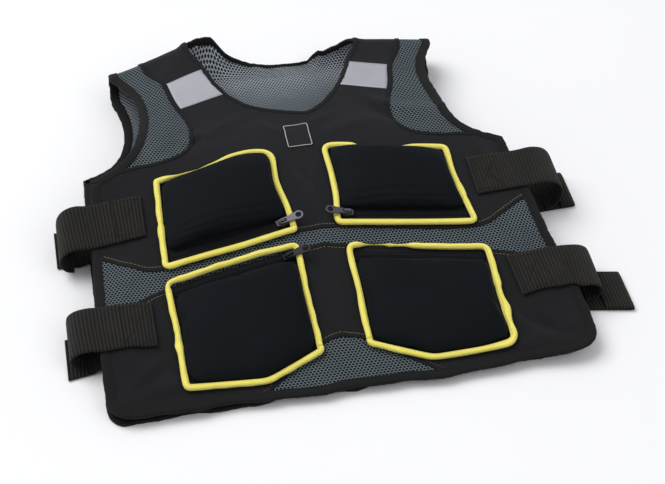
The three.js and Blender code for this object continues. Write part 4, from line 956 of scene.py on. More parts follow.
def repeats(name, places, headings, normals, shape, look, unevenness, seed, slot):
    """One mesh of a small shape repeated at places, all in millimetres."""
    base = bpy.data.meshes.new(name + "_points")
    base.from_pydata((np.asarray(places) / 1000).tolist(), [], [])
    for label, values in (("heading", headings), ("off", normals)):
        attribute = base.attributes.new(label, "FLOAT_VECTOR", "POINT")
        attribute.data.foreach_set("vector", np.asarray(values, float).ravel())
    carrier = bpy.data.objects.new(name + "_carrier", base)
    bpy.context.scene.collection.objects.link(carrier)
    modifier = carrier.modifiers.new("repeat", "NODES")
    tree = repeat_tree(look)
    modifier.node_group = tree
    by_name = {s.name: s.identifier for s in tree.interface.items_tree if s.in_out == "INPUT"}
    modifier[by_name["Shape"]] = shape
    modifier[by_name["Unevenness"]] = unevenness
    modifier[by_name["Seed"]] = seed
    graph = bpy.context.evaluated_depsgraph_get()
    mesh = bpy.data.meshes.new_from_object(carrier.evaluated_get(graph))
    mesh.name = name
    bpy.data.objects.remove(carrier)
    paint(mesh, [look])
    add_piece(name, mesh)


def bead(name, length, width, height, rings=5, sides=6):
    """A small rounded bar along X, as a shape to repeat. Sizes in millimetres."""
    t = np.linspace(0, math.pi, rings + 1)[1:-1]
    a = np.linspace(0, 2 * math.pi, sides, endpoint=False)
    body = [(-length / 2 * math.cos(u), width / 2 * math.sin(u) ** 0.6 * math.cos(v),
             height / 2 * math.sin(u) ** 0.6 * math.sin(v)) for u in t for v in a]
    points = np.array([(-length / 2, 0, 0), *body, (length / 2, 0, 0)])
    faces = [(0, 1 + (j + 1) % sides, 1 + j) for j in range(sides)]
    for i in range(len(t) - 1):
        for j in range(sides):
            k = (j + 1) % sides
            low, high = 1 + i * sides, 1 + (i + 1) * sides
            faces.append((low + j, low + k, high + k, high + j))
    last = 1 + (len(t) - 1) * sides
    faces += [(last + j, last + (j + 1) % sides, len(points) - 1) for j in range(sides)]
    mesh = bpy.data.meshes.new(name)
    mesh.from_pydata((points / 1000).tolist(), [], facing_out(points, faces))
    return bpy.data.objects.new(name, mesh)


STITCH = bead("stitch_shape", 2.7, 0.62, 0.5)
FINE_STITCH = bead("fine_stitch_shape", 2.1, 0.5, 0.4)
TOOTH = bead("tooth_shape", 2.1, 0.8, 1.1)


def along_line(line, height, pitch):
    """Places, headings and normals at even steps along a line of the pattern."""
    fine = spaced(line, pitch)
    places = drape(fine, height)
    headings = np.gradient(places, axis=0)
    headings /= np.linalg.norm(headings, axis=1)[:, None]
    normals = drape(fine, np.asarray(height) + 1.0) - places
    normals /= np.linalg.norm(normals, axis=1)[:, None]
    return places, headings, normals


def stitches(name, lines, height, look, pitch, shape=FINE_STITCH, slot="binding_tape"):
    """Stitches at a pitch along lines of the pattern."""
    parts = [along_line(line, height, pitch) for line in lines]
    columns = (np.vstack([p[k] for p in parts]) for k in range(3))
    repeats(name, *columns, shape, look, 0.07, 5, slot)


# Cloth panels

EDGE_COVER, NECK_COVER = 2.5, 2  # how far the tapes reach over the cut edges of the cloth
inner_edge = inset(outline, BINDING_WIDTH - EDGE_COVER)
neck_edge = inset(neck, NECK_COVER - NECK_BINDING_WIDTH)
half = SEAM / 2
arm_side = moved(arm_seam, -half / 2, -half / 2)
yoke_side = arm_side[arm_side[:, 1] < shoulder_seam][::-1]
yoke_arm = np.vstack([[(WIDE, yoke_side[0, 1])], yoke_side, [(yoke_side[-1, 0], shoulder_seam)]])
yoke_region = np.vstack([
    band_top, [(WIDE, band_top[-1, 1])], yoke_arm, mirrored(yoke_arm), [(-WIDE, band_top[0, 1])],
])
UNDER = 3.0  # how far a mesh panel runs on under its woven neighbour
arm_region = np.vstack([
    moved(arm_seam, -UNDER, -UNDER), [(WIDE, arm_seam[-1, 1] - UNDER)], [(WIDE, shoulder_seam)],
    [(arm_seam[0, 0] - UNDER, shoulder_seam)],
])
arm_region = arm_region[arm_region[:, 1] <= shoulder_seam + 1e-6]
band_region = np.vstack([
    moved(band_bottom, 0, -UNDER), [(WIDE, band_bottom[-1, 1])], [(WIDE, band_top[-1, 1])],
    moved(band_top, 0, UNDER)[::-1], [(-WIDE, band_top[0, 1])], [(-WIDE, band_bottom[0, 1])],
])
skirt_region = np.vstack([
    band_bottom, [(WIDE, band_bottom[-1, 1])], [(WIDE, -MARGIN)], [(-WIDE, -MARGIN)],
    [(-WIDE, band_bottom[0, 1])],
])
hem_hole = np.vstack([hem_seam, [(hem_seam[-1, 0], -MARGIN)], [(hem_seam[0, 0], -MARGIN)]])
hem_region = moved(hem_hole, 0, UNDER)
back_end = 2 * BODY_LENGTH + 2 * TURN
back_region = np.array([(-WIDE, shoulder_seam), (WIDE, shoulder_seam), (WIDE, back_end), (-WIDE, back_end)])
MESH_TOP = CLOTH - 0.5

panel("cloth_yoke", "front_yoke", yoke_region, [neck_edge], CLOTH, WOVEN)
panel("cloth_skirt", "front_skirt", skirt_region, [spaced(hem_hole, 4, True)], CLOTH, WOVEN)
panel("mesh_band", "front_band_mesh", band_region, [], MESH_TOP, MESH)
panel("mesh_hem", "front_hem_mesh", hem_region, [], MESH_TOP, MESH)
for word, turn in (("right", lambda p: p), ("left", mirrored)):
    panel("mesh_arm_" + word, "arm_mesh_" + word, turn(arm_region), [], MESH_TOP, MESH, 3, 3.0)
panel("mesh_back", "back_panel", back_region, [neck_edge], CLOTH, BACK_MESH, 6, 5.0)


# Bindings

BINDING = [  # distance from the cut edge, height over the inner face
    (9, 2.3), (8.7, 2.85), (7.9, 3.0), (7.2, 2.8), (6.4, 3.0), (4.4, 3.15), (2.2, 3.1), (0.9, 2.8),
    (0.15, 2.1), (0, 1.2), (0.15, 0.2), (0.9, -0.5), (2.4, -0.8), (6, -0.8), (8.8, -0.75), (9, -0.3),
]


def pucker(amount, seed):
    """Small uneven waves of a sewn edge."""
    draw = np.random.default_rng(seed)
    waves_at = [(draw.uniform(7, 30), draw.uniform(0, 6.28), draw.uniform(0.3, 1)) for _ in range(5)]

    def wave(run, side, height):
        total = sum(w * np.sin(2 * math.pi * run / pitch + phase) for pitch, phase, w in waves_at)
        return amount * 0.35 * total, amount * 0.12 * total * (height > 1.5)

    return wave


front_corner = BODY_LENGTH - SHOULDER_DROP - ARM_DEPTH
back_up = BODY_LENGTH - SHOULDER_DROP - BACK_ARM_DEPTH
back_corner = float(pattern_along(np.array([WIDE]), np.array([back_up]))[0])
ring_up = outline[:, 1]
sections = [(-d, h) for d, h in BINDING]


def ring_part(keep):
    """The stretch of the outline where keep holds, in order, with its first point after the gap."""
    marks = np.flatnonzero(keep & ~np.roll(keep, 1))
    turned = np.roll(outline, -marks[0], axis=0)
    return turned[:int(keep.sum())]


LAP = 3  # how far an arm tape runs on past a hem tape's end
beside_arms = (ring_up > front_corner - LAP) & (ring_up < back_corner + LAP)
binding_lines = {
    "hem_binding_front": ring_part(ring_up <= front_corner),
    "hem_binding_back": ring_part(ring_up >= back_corner),
    "arm_binding_right": ring_part(beside_arms & (outline[:, 0] > 0)),
    "arm_binding_left": ring_part(beside_arms & (outline[:, 0] < 0)),
}
for seed, (name, line) in enumerate(binding_lines.items()):
    tape = swept("tape_" + name, line, sections, TAPE, False, wave=pucker(0.5, seed))
    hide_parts(name)


def neck_wave(run, side, height):
    base = pucker(0.5, 11)(run, side, height)
    at_back = np.interp(run, neck_run, neck_back)
    ruffle = np.sin(run / 5.3 + 1.3 * np.sin(run / 13.1)) + 0.5 * np.sin(run / 3.1 + 2)
    return base[0] - 0.5 * ruffle * at_back, base[1] + 0.55 * ruffle * at_back


neck_run = np.r_[0, np.cumsum(np.linalg.norm(np.diff(neck, axis=0), axis=1))]
neck_back = smoothstep(neck[:, 1], BODY_LENGTH, BODY_LENGTH + TURN / 3)
neck_section = [(d * NECK_BINDING_WIDTH / BINDING_WIDTH, h) for d, h in BINDING]
neck_tape = swept("tape_neck", neck, neck_section, TAPE, True, wave=neck_wave)
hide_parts("neck_binding")

# Flat tapes over the seams, and the stitching beside them
FLAT_TAPE = [  # to the side of the line, height over the inner face
    (-2.1, 2.2), (-2.0, 2.75), (-1.2, 2.95), (1.2, 2.95), (2.0, 2.75), (2.1, 2.2), (2.0, 1.6), (-2.0, 1.6),
]
TAPE_AWAY = 1.8  # from a seam to the middle of its tape
ARM_ROW_AWAY = 1.35  # from the middle of an arm tape to each of its rows of stitches
EDGE_ROW_AWAY = 7.2  # from a bound edge to its row of stitches
NECK_ROW_AWAY = 4.4
GOLD_AWAY, HEM_GOLD_AWAY = 4.6, 4.4  # from a seam to its gold stitches


def kept_inside(line, distance):
    """The part of a line that stays a distance inside the vest's edge."""
    fine = spaced(line, 2.5)
    return fine[inside(fine, inset(outline, distance))]


def beside(line, distance):
    """An open line moved to its right by a distance."""
    normal, mitre = outward(line, False)
    return line + normal * (distance * mitre)[:, None]


arm_line = spaced(arm_seam[(arm_seam[:, 1] < shoulder_seam + 4)], 3)
arm_line = arm_line[inside(arm_line, inset(outline, 5))]
tape_lines = {
    "arm_right": arm_line, "arm_left": mirrored(arm_line),
    "band_top": kept_inside(moved(band_top, 0, TAPE_AWAY), 7),
    "band_bottom": kept_inside(moved(band_bottom, 0, -TAPE_AWAY), 7),
    "hem": kept_inside(moved(hem_seam, 0, TAPE_AWAY), 7),
}
for name, line in tape_lines.items():
    swept("seam_tape_" + name, line, FLAT_TAPE, SEAM_TAPE, False)

gold = [kept_inside(moved(band_top, 0, GOLD_AWAY), 10), kept_inside(moved(band_bottom, 0, -GOLD_AWAY), 10),
        kept_inside(moved(hem_seam, 0, HEM_GOLD_AWAY), 10)]
neck_row = inset(neck, -NECK_ROW_AWAY)
edge_rows = [beside(line, -EDGE_ROW_AWAY) for line in binding_lines.values()]
edge_rows.append(np.vstack([neck_row, neck_row[:1]]))
stitches("stitches_binding", edge_rows, CLOTH + 0.45, BLACK_THREAD, 2.8)
arm_rows = [beside(line, away) for line in (arm_line, mirrored(arm_line))
            for away in (ARM_ROW_AWAY, -ARM_ROW_AWAY)]
stitches("stitches_arm", arm_rows, CLOTH + 0.55, BLACK_THREAD, 2.8)


# Pockets

def coons(bottom, top, left, right, s, t):
    b, u = on_line(bottom, s), on_line(top, s)
    l, r = on_line(left, t), on_line(right, t)
    s, t = s[:, None], t[:, None]
    b0, b1, u0, u1 = (np.asarray(v, float) for v in (bottom[0], bottom[-1], top[0], top[-1]))
    return (b * (1 - t) + u * t + l * (1 - s) + r * s
            - b0 * (1 - s) * (1 - t) - b1 * s * (1 - t) - u0 * (1 - s) * t - u1 * s * t)


def on_line(line, share):
    p = np.asarray(line, float)
    run = np.r_[0, np.cumsum(np.linalg.norm(np.diff(p, axis=0), axis=1))]
    at = share * run[-1]
    return np.stack([np.interp(at, run, p[:, k]) for k in (0, 1)], axis=1)


def round_corners(corners, radii, steps):
    out = []
    count = len(corners)
    for i, (corner, radius) in enumerate(zip(corners, radii)):
        back, ahead = corners[i - 1] - corner, corners[(i + 1) % count] - corner
        lengths = np.linalg.norm(back), np.linalg.norm(ahead)
        turn = math.acos(np.dot(back, ahead) / (lengths[0] * lengths[1])) / 2
        cut = min(radius / math.tan(turn), lengths[0] * 0.4, lengths[1] * 0.4)
        begin, end = corner + back / lengths[0] * cut, corner + ahead / lengths[1] * cut
        out.append(quadratic(begin, corner, end, steps))
    return np.vstack(out)


def pocket_shape(name):
    side, up, height, low_zip, rows = POCKETS[name]
    corners = np.array([(side * (POCKET_SPACING / 2 + a * POCKET_WIDTH), up + b * height) for a, b in rows])
    room = inset(corners, PIPING_WIDTH + SEAM)
    inner_top, outer_top, bottom = room[-1], room[-2], room[:-2]
    inner_low, outer_low = bottom[0], bottom[-1]

    def toward(a, b, distance):
        return a + (b - a) / np.linalg.norm(b - a) * distance

    strip = ZIP_WIDTH + GAP
    if low_zip:
        low = [toward(inner_low, inner_top, strip), toward(outer_low, outer_top, strip)]
        zip_top = [toward(inner_low, inner_top, ZIP_WIDTH), toward(outer_low, outer_top, ZIP_WIDTH)]
        pad = (low, [inner_top, outer_top], [low[0], inner_top], [low[1], outer_top])
        return corners, pad, [inner_low, outer_low, zip_top[1], zip_top[0]]
    high = [toward(inner_top, inner_low, strip), toward(outer_top, outer_low, strip)]
    zip_low = [toward(inner_top, inner_low, ZIP_WIDTH), toward(outer_top, outer_low, ZIP_WIDTH)]
    pad = (list(bottom), high, [inner_low, high[0]], [outer_low, high[1]])
    return corners, pad, [zip_low[0], zip_low[1], outer_top, inner_top]


# How each pocket departs from straight edges. Corners are numbered as in POCKETS, an edge from its corner.
# bows: edge, share along it, outwards in mm. thin: edge, share, reach of the share, what is left of the cord.
POCKET_FORMS = {
    "upper_left": {
        "round": [5, 8, 5, 17],
        "bows": [(0, 0.4, 0.8), (2, 0.3, -1.2), (2, 0.72, 4.2), (3, 0.45, -3.4)],
        "thin": [(2, 0.34, 0.2, 0.3)],
    },
    "upper_right": {
        "round": [9, 8, 10, 12],
        "bows": [(1, 0.4, -2.2), (1, 0.7, -2.4), (2, 0.5, -2.0), (3, 0.35, -2.0), (3, 0.65, -2.6)],
        "thin": [(2, 0.44, 0.13, 0.3), (2, 0.64, 0.08, 0.02)],
    },
    "lower_left": {
        "round": [8, 30, 8, 11, 9],
        "bows": [(3, 0.35, 2.2), (3, 0.7, 2.4), (4, 0.5, -0.8), (2, 0.5, -0.8)],
        "thin": [(2, 0.97, 0.05, 0.8)],
    },
    "lower_right": {
        "round": [8, 30, 12, 12, 11],
        "bows": [(2, 0.5, -1.8), (3, 0.5, 0.8), (4, 0.5, -1.0)],
        "thin": [(3, 0.78, 0.1, 0.1), (3, 0.62, 0.08, 0.4)],
    },
}
BOW_REACH = 0.2  # share of an edge over which a bow fades
BOW_DEPTH = 24  # how far into the pocket a bow reaches
SIM_FRAMES = 20
VOXEL = 0.003
PRESSURE = 4.0
SWELL_CAP = 0.005  # the furthest that a point of a pad moves, in metres
SWELL_SIDEWAYS = 0.35  # what is left of its move sideways


def edge_shares(points, corners):
    """For every edge of a pocket: each point's share along it and its distance from it, and the way out."""
    sign = 1 if area_of(corners) > 0 else -1
    for a, b in zip(corners, np.roll(corners, -1, axis=0)):
        length = np.linalg.norm(b - a)
        heading = (b - a) / length
        out = np.array([heading[1], -heading[0]]) * sign
        yield np.clip((points - a) @ heading / length, 0, 1), np.abs((points - a) @ out), out


def bend(points, name, corners, cover=0.0):
    """Moves pattern points with the bowed edges of a pocket. cover moves pads out over a thin cord."""
    form, points = POCKET_FORMS[name], np.asarray(points, float)
    moves = np.zeros_like(points)
    for k, (share, away, out) in enumerate(edge_shares(points, corners)):
        ends = np.sqrt(np.clip(np.sin(math.pi * share), 0, 1))
        off = sum((by * np.exp(-((share - at) / BOW_REACH) ** 2)
                   for edge, at, by in form["bows"] if edge == k), 0 * share)
        off = off + cover * sum((1 - keep) * np.exp(-((share - at) / reach) ** 2)
                                for edge, at, reach, keep in form["thin"] if edge == k)
        moves += (off * ends * np.exp(-(away / BOW_DEPTH) ** 2))[:, None] * out
    return points + moves


def cord_left(points, name, corners):
    """What share of the cord shows at each point of its line."""
    left = np.ones(len(points))
    for k, (share, away, out) in enumerate(edge_shares(points, corners)):
        for edge, at, reach, keep in POCKET_FORMS[name]["thin"]:
            if edge == k:
                dip = np.exp(-((share - at) / reach) ** 4) * (away < 14)
                left = np.minimum(left, 1 - (1 - keep) * dip)
    return left


def swell_pad(piece):
    """Blows a pad up a little with cloth pressure, and keeps each point within a cap of its start."""
    remesh = piece.modifiers.new("remesh", "REMESH")
    remesh.mode, remesh.voxel_size = "VOXEL", VOXEL
    bake(piece)
    start_places = mesh_points(piece)
    low = start_places[:, 2].copy()
    cloth = piece.modifiers.new("cloth", "CLOTH")
    settings = cloth.settings
    settings.quality, settings.mass = 6, 0.25
    settings.tension_stiffness = settings.compression_stiffness = 18
    settings.bending_stiffness = 2.5
    settings.use_pressure, settings.uniform_pressure_force = True, PRESSURE
    settings.effector_weights.gravity = 0
    cloth.collision_settings.use_self_collision = False
    scene = bpy.context.scene
    scene.frame_start, scene.frame_end = 1, SIM_FRAMES
    cloth.point_cache.frame_start, cloth.point_cache.frame_end = 1, SIM_FRAMES
    for k in range(1, SIM_FRAMES + 1):
        scene.frame_set(k)
    bake(piece)
    scene.frame_set(1)
    swollen = mesh_points(piece)
    move = swollen - start_places
    far = np.linalg.norm(move, axis=1)
    move *= np.minimum(1, SWELL_CAP / np.maximum(far, 1e-9))[:, None]
    move[:, :2] *= SWELL_SIDEWAYS
    places = start_places + move
    places[:, 2] = np.maximum(places[:, 2], low - 0.0003)
    piece.data.vertices.foreach_set("co", places.ravel())
    piece.data.update()


def bake(piece):
    """Makes what the modifiers of a piece give its mesh."""
    graph = bpy.context.evaluated_depsgraph_get()
    mesh = bpy.data.meshes.new_from_object(piece.evaluated_get(graph))
    old = piece.data
    looks = list(old.materials)
    piece.modifiers.clear()
    piece.data = mesh
    paint(mesh, looks)
    bpy.data.meshes.remove(old)


def mesh_points(piece):
    out = np.empty(len(piece.data.vertices) * 3)
    piece.data.vertices.foreach_get("co", out)
    return out.reshape(-1, 3)


FOLDS = [(2.6, 1.4, 0.5), (5.6, 1.2, -0.3), (8.2, 1.6, 0.45), (12, 1.6, -0.25), (16, 2.4, 0.3)]


def fold_pad(piece, edge, strength):
    """Soft folds of the knit that follow the zip edge of a pad: distance, half width and rise in mm."""
    places = mesh_points(piece)
    a, b = drape(np.array(edge), SEAT + PAD_EDGE)
    heading = (b - a)[:2] / np.linalg.norm((b - a)[:2])
    side = np.array([-heading[1], heading[0]])
    flat = places[:, :2] * 1000 - a[:2]
    share = flat @ heading / np.linalg.norm((b - a)[:2])
    away = np.abs(flat @ side) + 1.6 * np.sin(share * 4.2 + 0.5) + 0.7 * np.sin(share * 11)
    rise = sum(by * np.exp(-((away - at) / half_width) ** 2) for at, half_width, by in FOLDS)
    ends = smoothstep(share, 0.02, 0.2) * (1 - smoothstep(share, 0.8, 0.98))
    top = places[:, 2] * 1000 > front_rise(places[:, 0] * 1000, places[:, 1] * 1000 + BODY_LENGTH / 2) + 6
    places[:, 2] += strength * rise * ends * top / 1000
    piece.data.vertices.foreach_set("co", places.ravel())
    piece.data.update()


def pad_piece(name, pad, low_zip, corners):
    """A filled pad: crowned, with soft rolls beside the zip and corners that pull in."""
    count = 41
    u = (1 - np.cos(np.linspace(0, math.pi, count))) / 2
    s, t = (g.ravel() for g in np.meshgrid(u, u))
    flat = coons(*pad, s, t)
    middle = flat.mean(axis=0)
    pull = -0.034 + 0.05 * (np.abs(2 * s - 1) * np.abs(2 * t - 1)) ** 6
    flat = bend(middle + (flat - middle) * (1 - pull)[:, None], name, corners, 1.0)
    by_zip = t if low_zip else 1 - t
    toward = np.where(by_zip < 0.5, 2.2, 3.4)
    swell = np.maximum((1 - np.abs(2 * s - 1) ** 3.4) * (1 - np.abs(2 * t - 1) ** toward), 0) ** 0.5
    sag = 1.1 * np.sin(3.1 * s + 0.7) * np.sin(2.3 * t + 0.4)
    rise = (FILL_RISE - PAD_EDGE - 3.0 + sag) * swell
    shape = (count, count)
    low = drape(flat, SEAT + 0.1).reshape(*shape, 3)
    high = drape(flat, SEAT + PAD_EDGE + rise).reshape(*shape, 3)
    piece = grid_piece("pad_" + name, low, high, NEOPRENE, flat.reshape(*shape, 2))
    swell_pad(piece)
    piece.modifiers.new("smooth", "SUBSURF").levels = 1
    bake(piece)
    fold_pad(piece, pad[0] if low_zip else pad[1], 1.0 if low_zip else 0.3)
    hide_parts("pocket_" + name)
    return piece


def piping_section(sides=14):
    """Round cord above a narrow flange: (sideways, height) in millimetres."""
    out = []
    for k in range(sides):
        a = 2 * math.pi * k / sides
        x, z = (math.copysign(abs(v) ** 0.85, v) for v in (math.cos(a), math.sin(a)))
        wide = CORD_WIDTH / 2 * (0.98 - 0.12 * max(-z, 0))
        out.append((wide * x, SEAT + PIPING_HEIGHT / 2 * (1 + 0.98 * z)))
    return out


CORD_WIDTH = 5.9


def piping_wave(seed, lap_at, left):
    draw = np.random.default_rng(seed)
    rows = [(draw.uniform(16, 70), draw.uniform(0, 6.28)) for _ in range(5)]

    def wave(run, side, height):
        total = sum(np.sin(2 * math.pi * run / pitch + phase) for pitch, phase in rows) / len(rows)
        lap = np.exp(-((run - lap_at) / 7) ** 4) - 0.9 * np.exp(-((run - lap_at + 9) / 2.2) ** 2)
        shift = 0.35 * total + side * (0.09 * total + 0.16 * lap - (1 - left)) + (1 - left) * 1.8
        lift = (height - SEAT) * (0.05 * total + 0.13 * lap - 0.75 * (1 - left))
        return shift, lift

    return wave


def zip_pieces(name, edges, corners):
    bottom, right = [edges[0], edges[1]], [edges[1], edges[2]]
    top, left = [edges[3], edges[2]], [edges[0], edges[3]]
    s_count, t_count = 40, 7
    s, t = (g.ravel() for g in np.meshgrid(np.linspace(0, 1, s_count), np.linspace(0, 1, t_count)))
    flat = bend(coons(bottom, top, left, right, s, t), name, corners)
    shape = (t_count, s_count)
    low = drape(flat, SEAT).reshape(*shape, 3)
    high = drape(flat, SEAT + 0.6).reshape(*shape, 3)
    tape = grid_piece("zip_tape_" + name, low, high, ZIP_TAPE, flat.reshape(*shape, 2))
    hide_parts("zip_" + name)
    line = (np.array(bottom) + np.array(top)) / 2
    ahead = (line[1] - line[0]) / np.linalg.norm(line[1] - line[0])
    side = np.array([-ahead[1], ahead[0]])
    places, headings, normals = [], [], []
    for k, shift in enumerate((-0.9, 0.9)):
        row = line + side * shift
        row = bend(spaced([row[0] + ahead * 0.65 * k, row[1]], 3), name, corners)
        p, h, n = along_line(row, SEAT + 1.0, 1.3)
        places.append(p)
        headings.append(np.cross(n, h))
        normals.append(n)
    columns = (np.vstack(part) for part in (places, headings, normals))
    repeats("zip_coil_" + name, *columns, TOOTH, COIL, 0.02, 2, "zip_tape")
    rows = [bend(spaced([line[0] + side * k, line[1] + side * k], 3), name, corners) for k in (-4.2, 4.2)]
    stitches("zip_stitches_" + name, rows, SEAT + 0.7, BLACK_THREAD, 2.6, FINE_STITCH, "zip_tape")


for seed, name in enumerate(POCKETS):
    corners, pad, zip_edges = pocket_shape(name)
    pad_piece(name, pad, POCKETS[name][3], corners)
    ring = spaced(round_corners(corners, POCKET_FORMS[name]["round"], 10), 2.2, True)
    ring = ring if area_of(ring) > 0 else ring[::-1]
    left = cord_left(ring, name, corners)
    centre = inset(bend(ring, name, corners), CORD_WIDTH / 2)
    outer = np.flatnonzero(np.abs(centre[:, 0]) > np.abs(centre[:, 0]).max() - 6)
    lap_at = outer[len(outer) // 2] * 2.2
    cord = swept("piping_cord_" + name, centre, piping_section(), PIPING, True,
                 wave=piping_wave(seed + 20, lap_at, left))
    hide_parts("piping_" + name)
    zip_pieces(name, zip_edges, corners)
    ditch = inset(bend(ring, name, corners), -1.6)
    stitches("piping_stitches_" + name, [np.vstack([ditch, ditch[:1]])], CLOTH + 0.1, BLACK_THREAD, 3.0,
             FINE_STITCH, "binding_tape")


def outside_pockets(line):
    """The stretches of a line that no pocket covers."""
    covered = np.zeros(len(line), bool)
    for name in POCKETS:
        covered |= inside(line, pocket_shape(name)[0])
    cuts = np.flatnonzero(np.diff(covered.astype(int))) + 1
    parts = zip(np.split(line, cuts), np.split(covered, cuts))
    return [part for part, hidden in parts if not hidden[0] and len(part) > 2]


gold_parts = [part for line in gold for part in outside_pockets(line)]
stitches("stitches_band", gold_parts, CLOTH + 0.12, GOLD_THREAD, 3.3, STITCH)


# Trim

def reflective_region(side):
    turn = math.radians(-REFLECTIVE_TILT)
    strip = []
    for s, t in ((-1, -1), (1, -1), (1, 1), (-1, 1)):
        x, y = s * NECK_HALF, t * REFLECTIVE_LENGTH / 2
        strip.append((x * math.cos(turn) - y * math.sin(turn) + NECK_HALF,
                      x * math.sin(turn) + y * math.cos(turn) + BODY_LENGTH - REFLECTIVE_DOWN))
    seam = moved(arm_seam, -REFLECTIVE_MARGIN, 0)[::-1]
    limit = np.vstack([[(0, seam[0, 1])], seam, [(0, seam[-1, 1])]])
    both = [np.array(strip), limit]
    return both if side > 0 else [mirrored(p) for p in both]


for side, word in ((-1, "left"), (1, "right")):
    regions = [spaced(line, 2, True) for line in reflective_region(side)]
    places, faces = triangles_in(regions, [inset(neck, 0.5 - NECK_BINDING_WIDTH)], 3.0)
    patch = slab("patch_" + word, places, faces, CLOTH + 0.05, CLOTH + 0.55, REFLECTIVE)
    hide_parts("reflective_" + word)

label_x = np.array([LABEL_ACROSS - LABEL_WIDTH / 2, LABEL_ACROSS + LABEL_WIDTH / 2])
label_y = np.array([LABEL_UP - LABEL_HEIGHT / 2, LABEL_UP + LABEL_HEIGHT / 2])
x, y = (g.ravel() for g in np.meshgrid(np.linspace(*label_x, 14), np.linspace(*label_y, 14)))
flat = np.stack([x, y], axis=1)
label_low = drape(flat, CLOTH + 0.05).reshape(14, 14, 3)
label_high = drape(flat, CLOTH + 0.75).reshape(14, 14, 3)
label = grid_piece("label", label_low, label_high, LABEL, flat.reshape(14, 14, 2))
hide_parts("chest_label")
BORDER_IN = 0.9  # from the edges of the label to its pale line
(left_x, right_x), (low_y, high_y) = (ends + np.array([BORDER_IN, -BORDER_IN]) for ends in (label_x, label_y))
frame_corners = np.array([(left_x, low_y), (right_x, low_y), (right_x, high_y), (left_x, high_y)])
frame_line = round_corners(frame_corners, [1.2] * 4, 4)
BORDER = [(-0.5, CLOTH + 0.7), (-0.3, CLOTH + 0.98), (0.3, CLOTH + 0.98), (0.5, CLOTH + 0.7)]
swept("label_border", spaced(frame_line, 1.0, True), BORDER, PALE_THREAD)


# Straps

def ribbon(name, lines, thickness, look, replaced):
    """Webbing whose centre line is lines[row][station], with rounded edges."""
    grid = np.asarray(lines)
    rows, stations = grid.shape[:2]
    along = np.gradient(grid, axis=1)
    across = np.gradient(grid, axis=0)
    normal = np.cross(across, along)
    normal /= np.linalg.norm(normal, axis=2)[:, :, None]
    v = np.linspace(-1, 1, rows)
    depth = thickness / 2 * (1 - 0.45 * np.abs(v) ** 14)[:, None, None]
    run = np.cumsum(np.r_[0, np.linalg.norm(np.diff(grid[rows // 2], axis=0), axis=1)])
    uvs = np.stack([np.tile(run, (rows, 1)), np.tile((v * STRAP_WIDTH / 2)[:, None], (1, stations))], axis=2)
    piece = grid_piece(name, grid - normal * depth, grid + normal * depth, look, uvs)
    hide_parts(replaced)
    return piece


STRAP_ROWS = 23
strap_above = CLOTH + BINDING_PROUD + SEAM + STRAP_THICKNESS / 2
strap_edge = HEM_HALF - BINDING_WIDTH / 2
FREE = [(0.42, 0.03), (0.75, -0.06), (0.95, -0.26), (1, -0.5), (0.95, -0.75), (0.82, -0.92), (0.62, -1)]
lowest = GAP + STRAP_THICKNESS + GAP + STRAP_THICKNESS / 2

for name, (side, up, begin, loop_reach, tab_reach, loop_slant, tab_slant) in STRAPS.items():
    lines = []
    for offset in np.linspace(-0.5, 0.5, STRAP_ROWS) * STRAP_WIDTH:
        def slanted(at):
            return up + offset + loop_slant * STRAP_WIDTH * ((at - begin) / (loop_reach - begin))

        on_x = begin + np.linspace(0, 1, 5) * (strap_edge - begin)
        on_cloth = drape(np.stack([side * on_x, slanted(on_x)], axis=1), strap_above)
        edge = on_cloth[-1, 2]
        free_x = strap_edge + np.array([o for o, r in FREE]) * (loop_reach - strap_edge)
        free = np.stack([side * free_x, slanted(free_x) - BODY_LENGTH / 2,
                         edge + np.array([r for o, r in FREE]) * (edge - lowest)], axis=1)
        lines.append(spaced(smooth(np.vstack([on_cloth, free]), 120), 1.6)[:])
    stations = min(len(line) for line in lines)
    lines = [np.stack([np.interp(np.linspace(0, 1, stations), np.linspace(0, 1, len(line)), line[:, k])
                       for k in range(3)], axis=1) for line in lines]
    ribbon("webbing_loop_" + name, lines, STRAP_THICKNESS, WEBBING, "strap_front_" + name)

    inner, outer_x = begin + 3.5, begin + 3.5 + 24
    low, high = up - STRAP_WIDTH / 2 + 4, up + STRAP_WIDTH / 2 - 4
    box = [(inner, low), (outer_x, low), (outer_x, high), (inner, high)]
    strokes = [[box[i], box[k]] for i, k in ((0, 1), (1, 2), (2, 3), (3, 0), (0, 2), (1, 3))]
    strokes = [[(side * x, y) for x, y in stroke] for stroke in strokes]
    stitches("strap_stitches_" + name, strokes, strap_above + STRAP_THICKNESS / 2, STRAP_THREAD, 3.3,
             STITCH, "webbing")

    middle = STRAP_THICKNESS / 2
    on_panel, on_floor = CLOTH + 0.8 + GAP + middle, GAP + middle
    folded = on_floor + STRAP_THICKNESS + GAP
    fold = tab_reach - middle
    hem_length = tab_reach - loop_reach - STRAP_THICKNESS
    path = [(HEM_HALF - STRAP_SEAM, on_panel), (HEM_HALF + middle, on_panel),
            (HEM_HALF + 8 * middle, on_floor), (fold - 4 * middle, on_floor), (fold - middle, on_floor)]
    if hem_length > STRAP_THICKNESS * 5:
        path += [(fold, (on_floor + folded) / 2), (fold - middle, folded), (tab_reach - hem_length, folded)]
    path = spaced(path, 1.6)
    lines = []
    for offset in np.linspace(-0.5, 0.5, STRAP_ROWS) * STRAP_WIDTH:
        share = (path[:, 0] - HEM_HALF + STRAP_SEAM) / (tab_reach - HEM_HALF + STRAP_SEAM)
        lines.append(np.stack([
            side * path[:, 0], up + offset + tab_slant * STRAP_WIDTH * share - BODY_LENGTH / 2, path[:, 1],
        ], axis=1))
    ribbon("webbing_tab_" + name, lines, STRAP_THICKNESS, WEBBING, "strap_back_" + name)


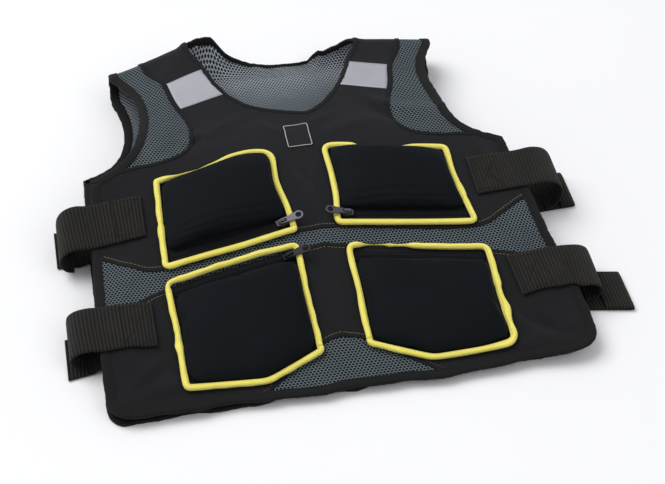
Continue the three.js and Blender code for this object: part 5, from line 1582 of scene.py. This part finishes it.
# Metal of the zips stays as imported from model.glb, with its own finish
for name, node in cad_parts.items():
    if name.startswith(("slider_", "pull_")):
        node.data.materials.clear()
        node.data.materials.append(DARK_METAL if name.endswith("lower_left") else METAL)


# Floor, light and camera

def floor():
    mesh = bpy.data.meshes.new("floor")
    reach = 6.0
    mesh.from_pydata([(-reach, -reach, -0.0004), (reach, -reach, -0.0004), (reach, reach, -0.0004),
                      (-reach, reach, -0.0004)], [], [(0, 1, 2, 3)])
    mesh.materials.append(floor_paint("matt_white_floor", "f7f7f8", "f2f2f4"))
    piece = bpy.data.objects.new("floor", mesh)
    bpy.context.scene.collection.objects.link(piece)


def area_light(name, place, target, size, power, tint=(1, 1, 1)):
    light = bpy.data.lights.new(name, "AREA")
    light.shape = "SQUARE"
    light.size, light.energy, light.color = size, power, tint
    holder = bpy.data.objects.new(name, light)
    holder.location = place
    holder.rotation_euler = (Vector(target) - Vector(place)).to_track_quat("-Z", "Y").to_euler()
    bpy.context.scene.collection.objects.link(holder)


floor()
area_light("key", (-2.6, 1.9, 4.6), (0, 0, 0), 4.0, 232)
area_light("fill", (3.0, -2.8, 3.6), (0, 0, 0), 3.5, 40)
world = bpy.data.worlds.new("studio")
world.use_nodes = True
background = world.node_tree.nodes["Background"]
background.inputs[0].default_value = (0.96, 0.97, 1.0, 1)
background.inputs[1].default_value = 0.5
bpy.context.scene.world = world
bpy.context.scene.view_settings.view_transform = "Standard"

# The camera fitted to the photo: focal length and picture width in pixels, sensor in mm, place in metres
FOCAL_PIXELS, PHOTO_WIDTH, SENSOR = 1502.5, 665, 36
CAMERA_PLACE = (-0.2084, -1.0071, 0.9991)
camera_data = bpy.data.cameras.new("camera")
camera_data.sensor_width = SENSOR
camera_data.lens = FOCAL_PIXELS / PHOTO_WIDTH * SENSOR
camera = bpy.data.objects.new("camera", camera_data)
right = Vector((0.97997, -0.19703, 0.02885)).normalized()
ahead = Vector((0.15943, 0.68951, -0.70651)).normalized()
upward = right.cross(ahead).normalized()
turn = Matrix((right, upward, -ahead)).transposed().to_4x4()
camera.matrix_world = Matrix.Translation(CAMERA_PLACE) @ turn
bpy.context.scene.collection.objects.link(camera)
bpy.context.scene.camera = camera
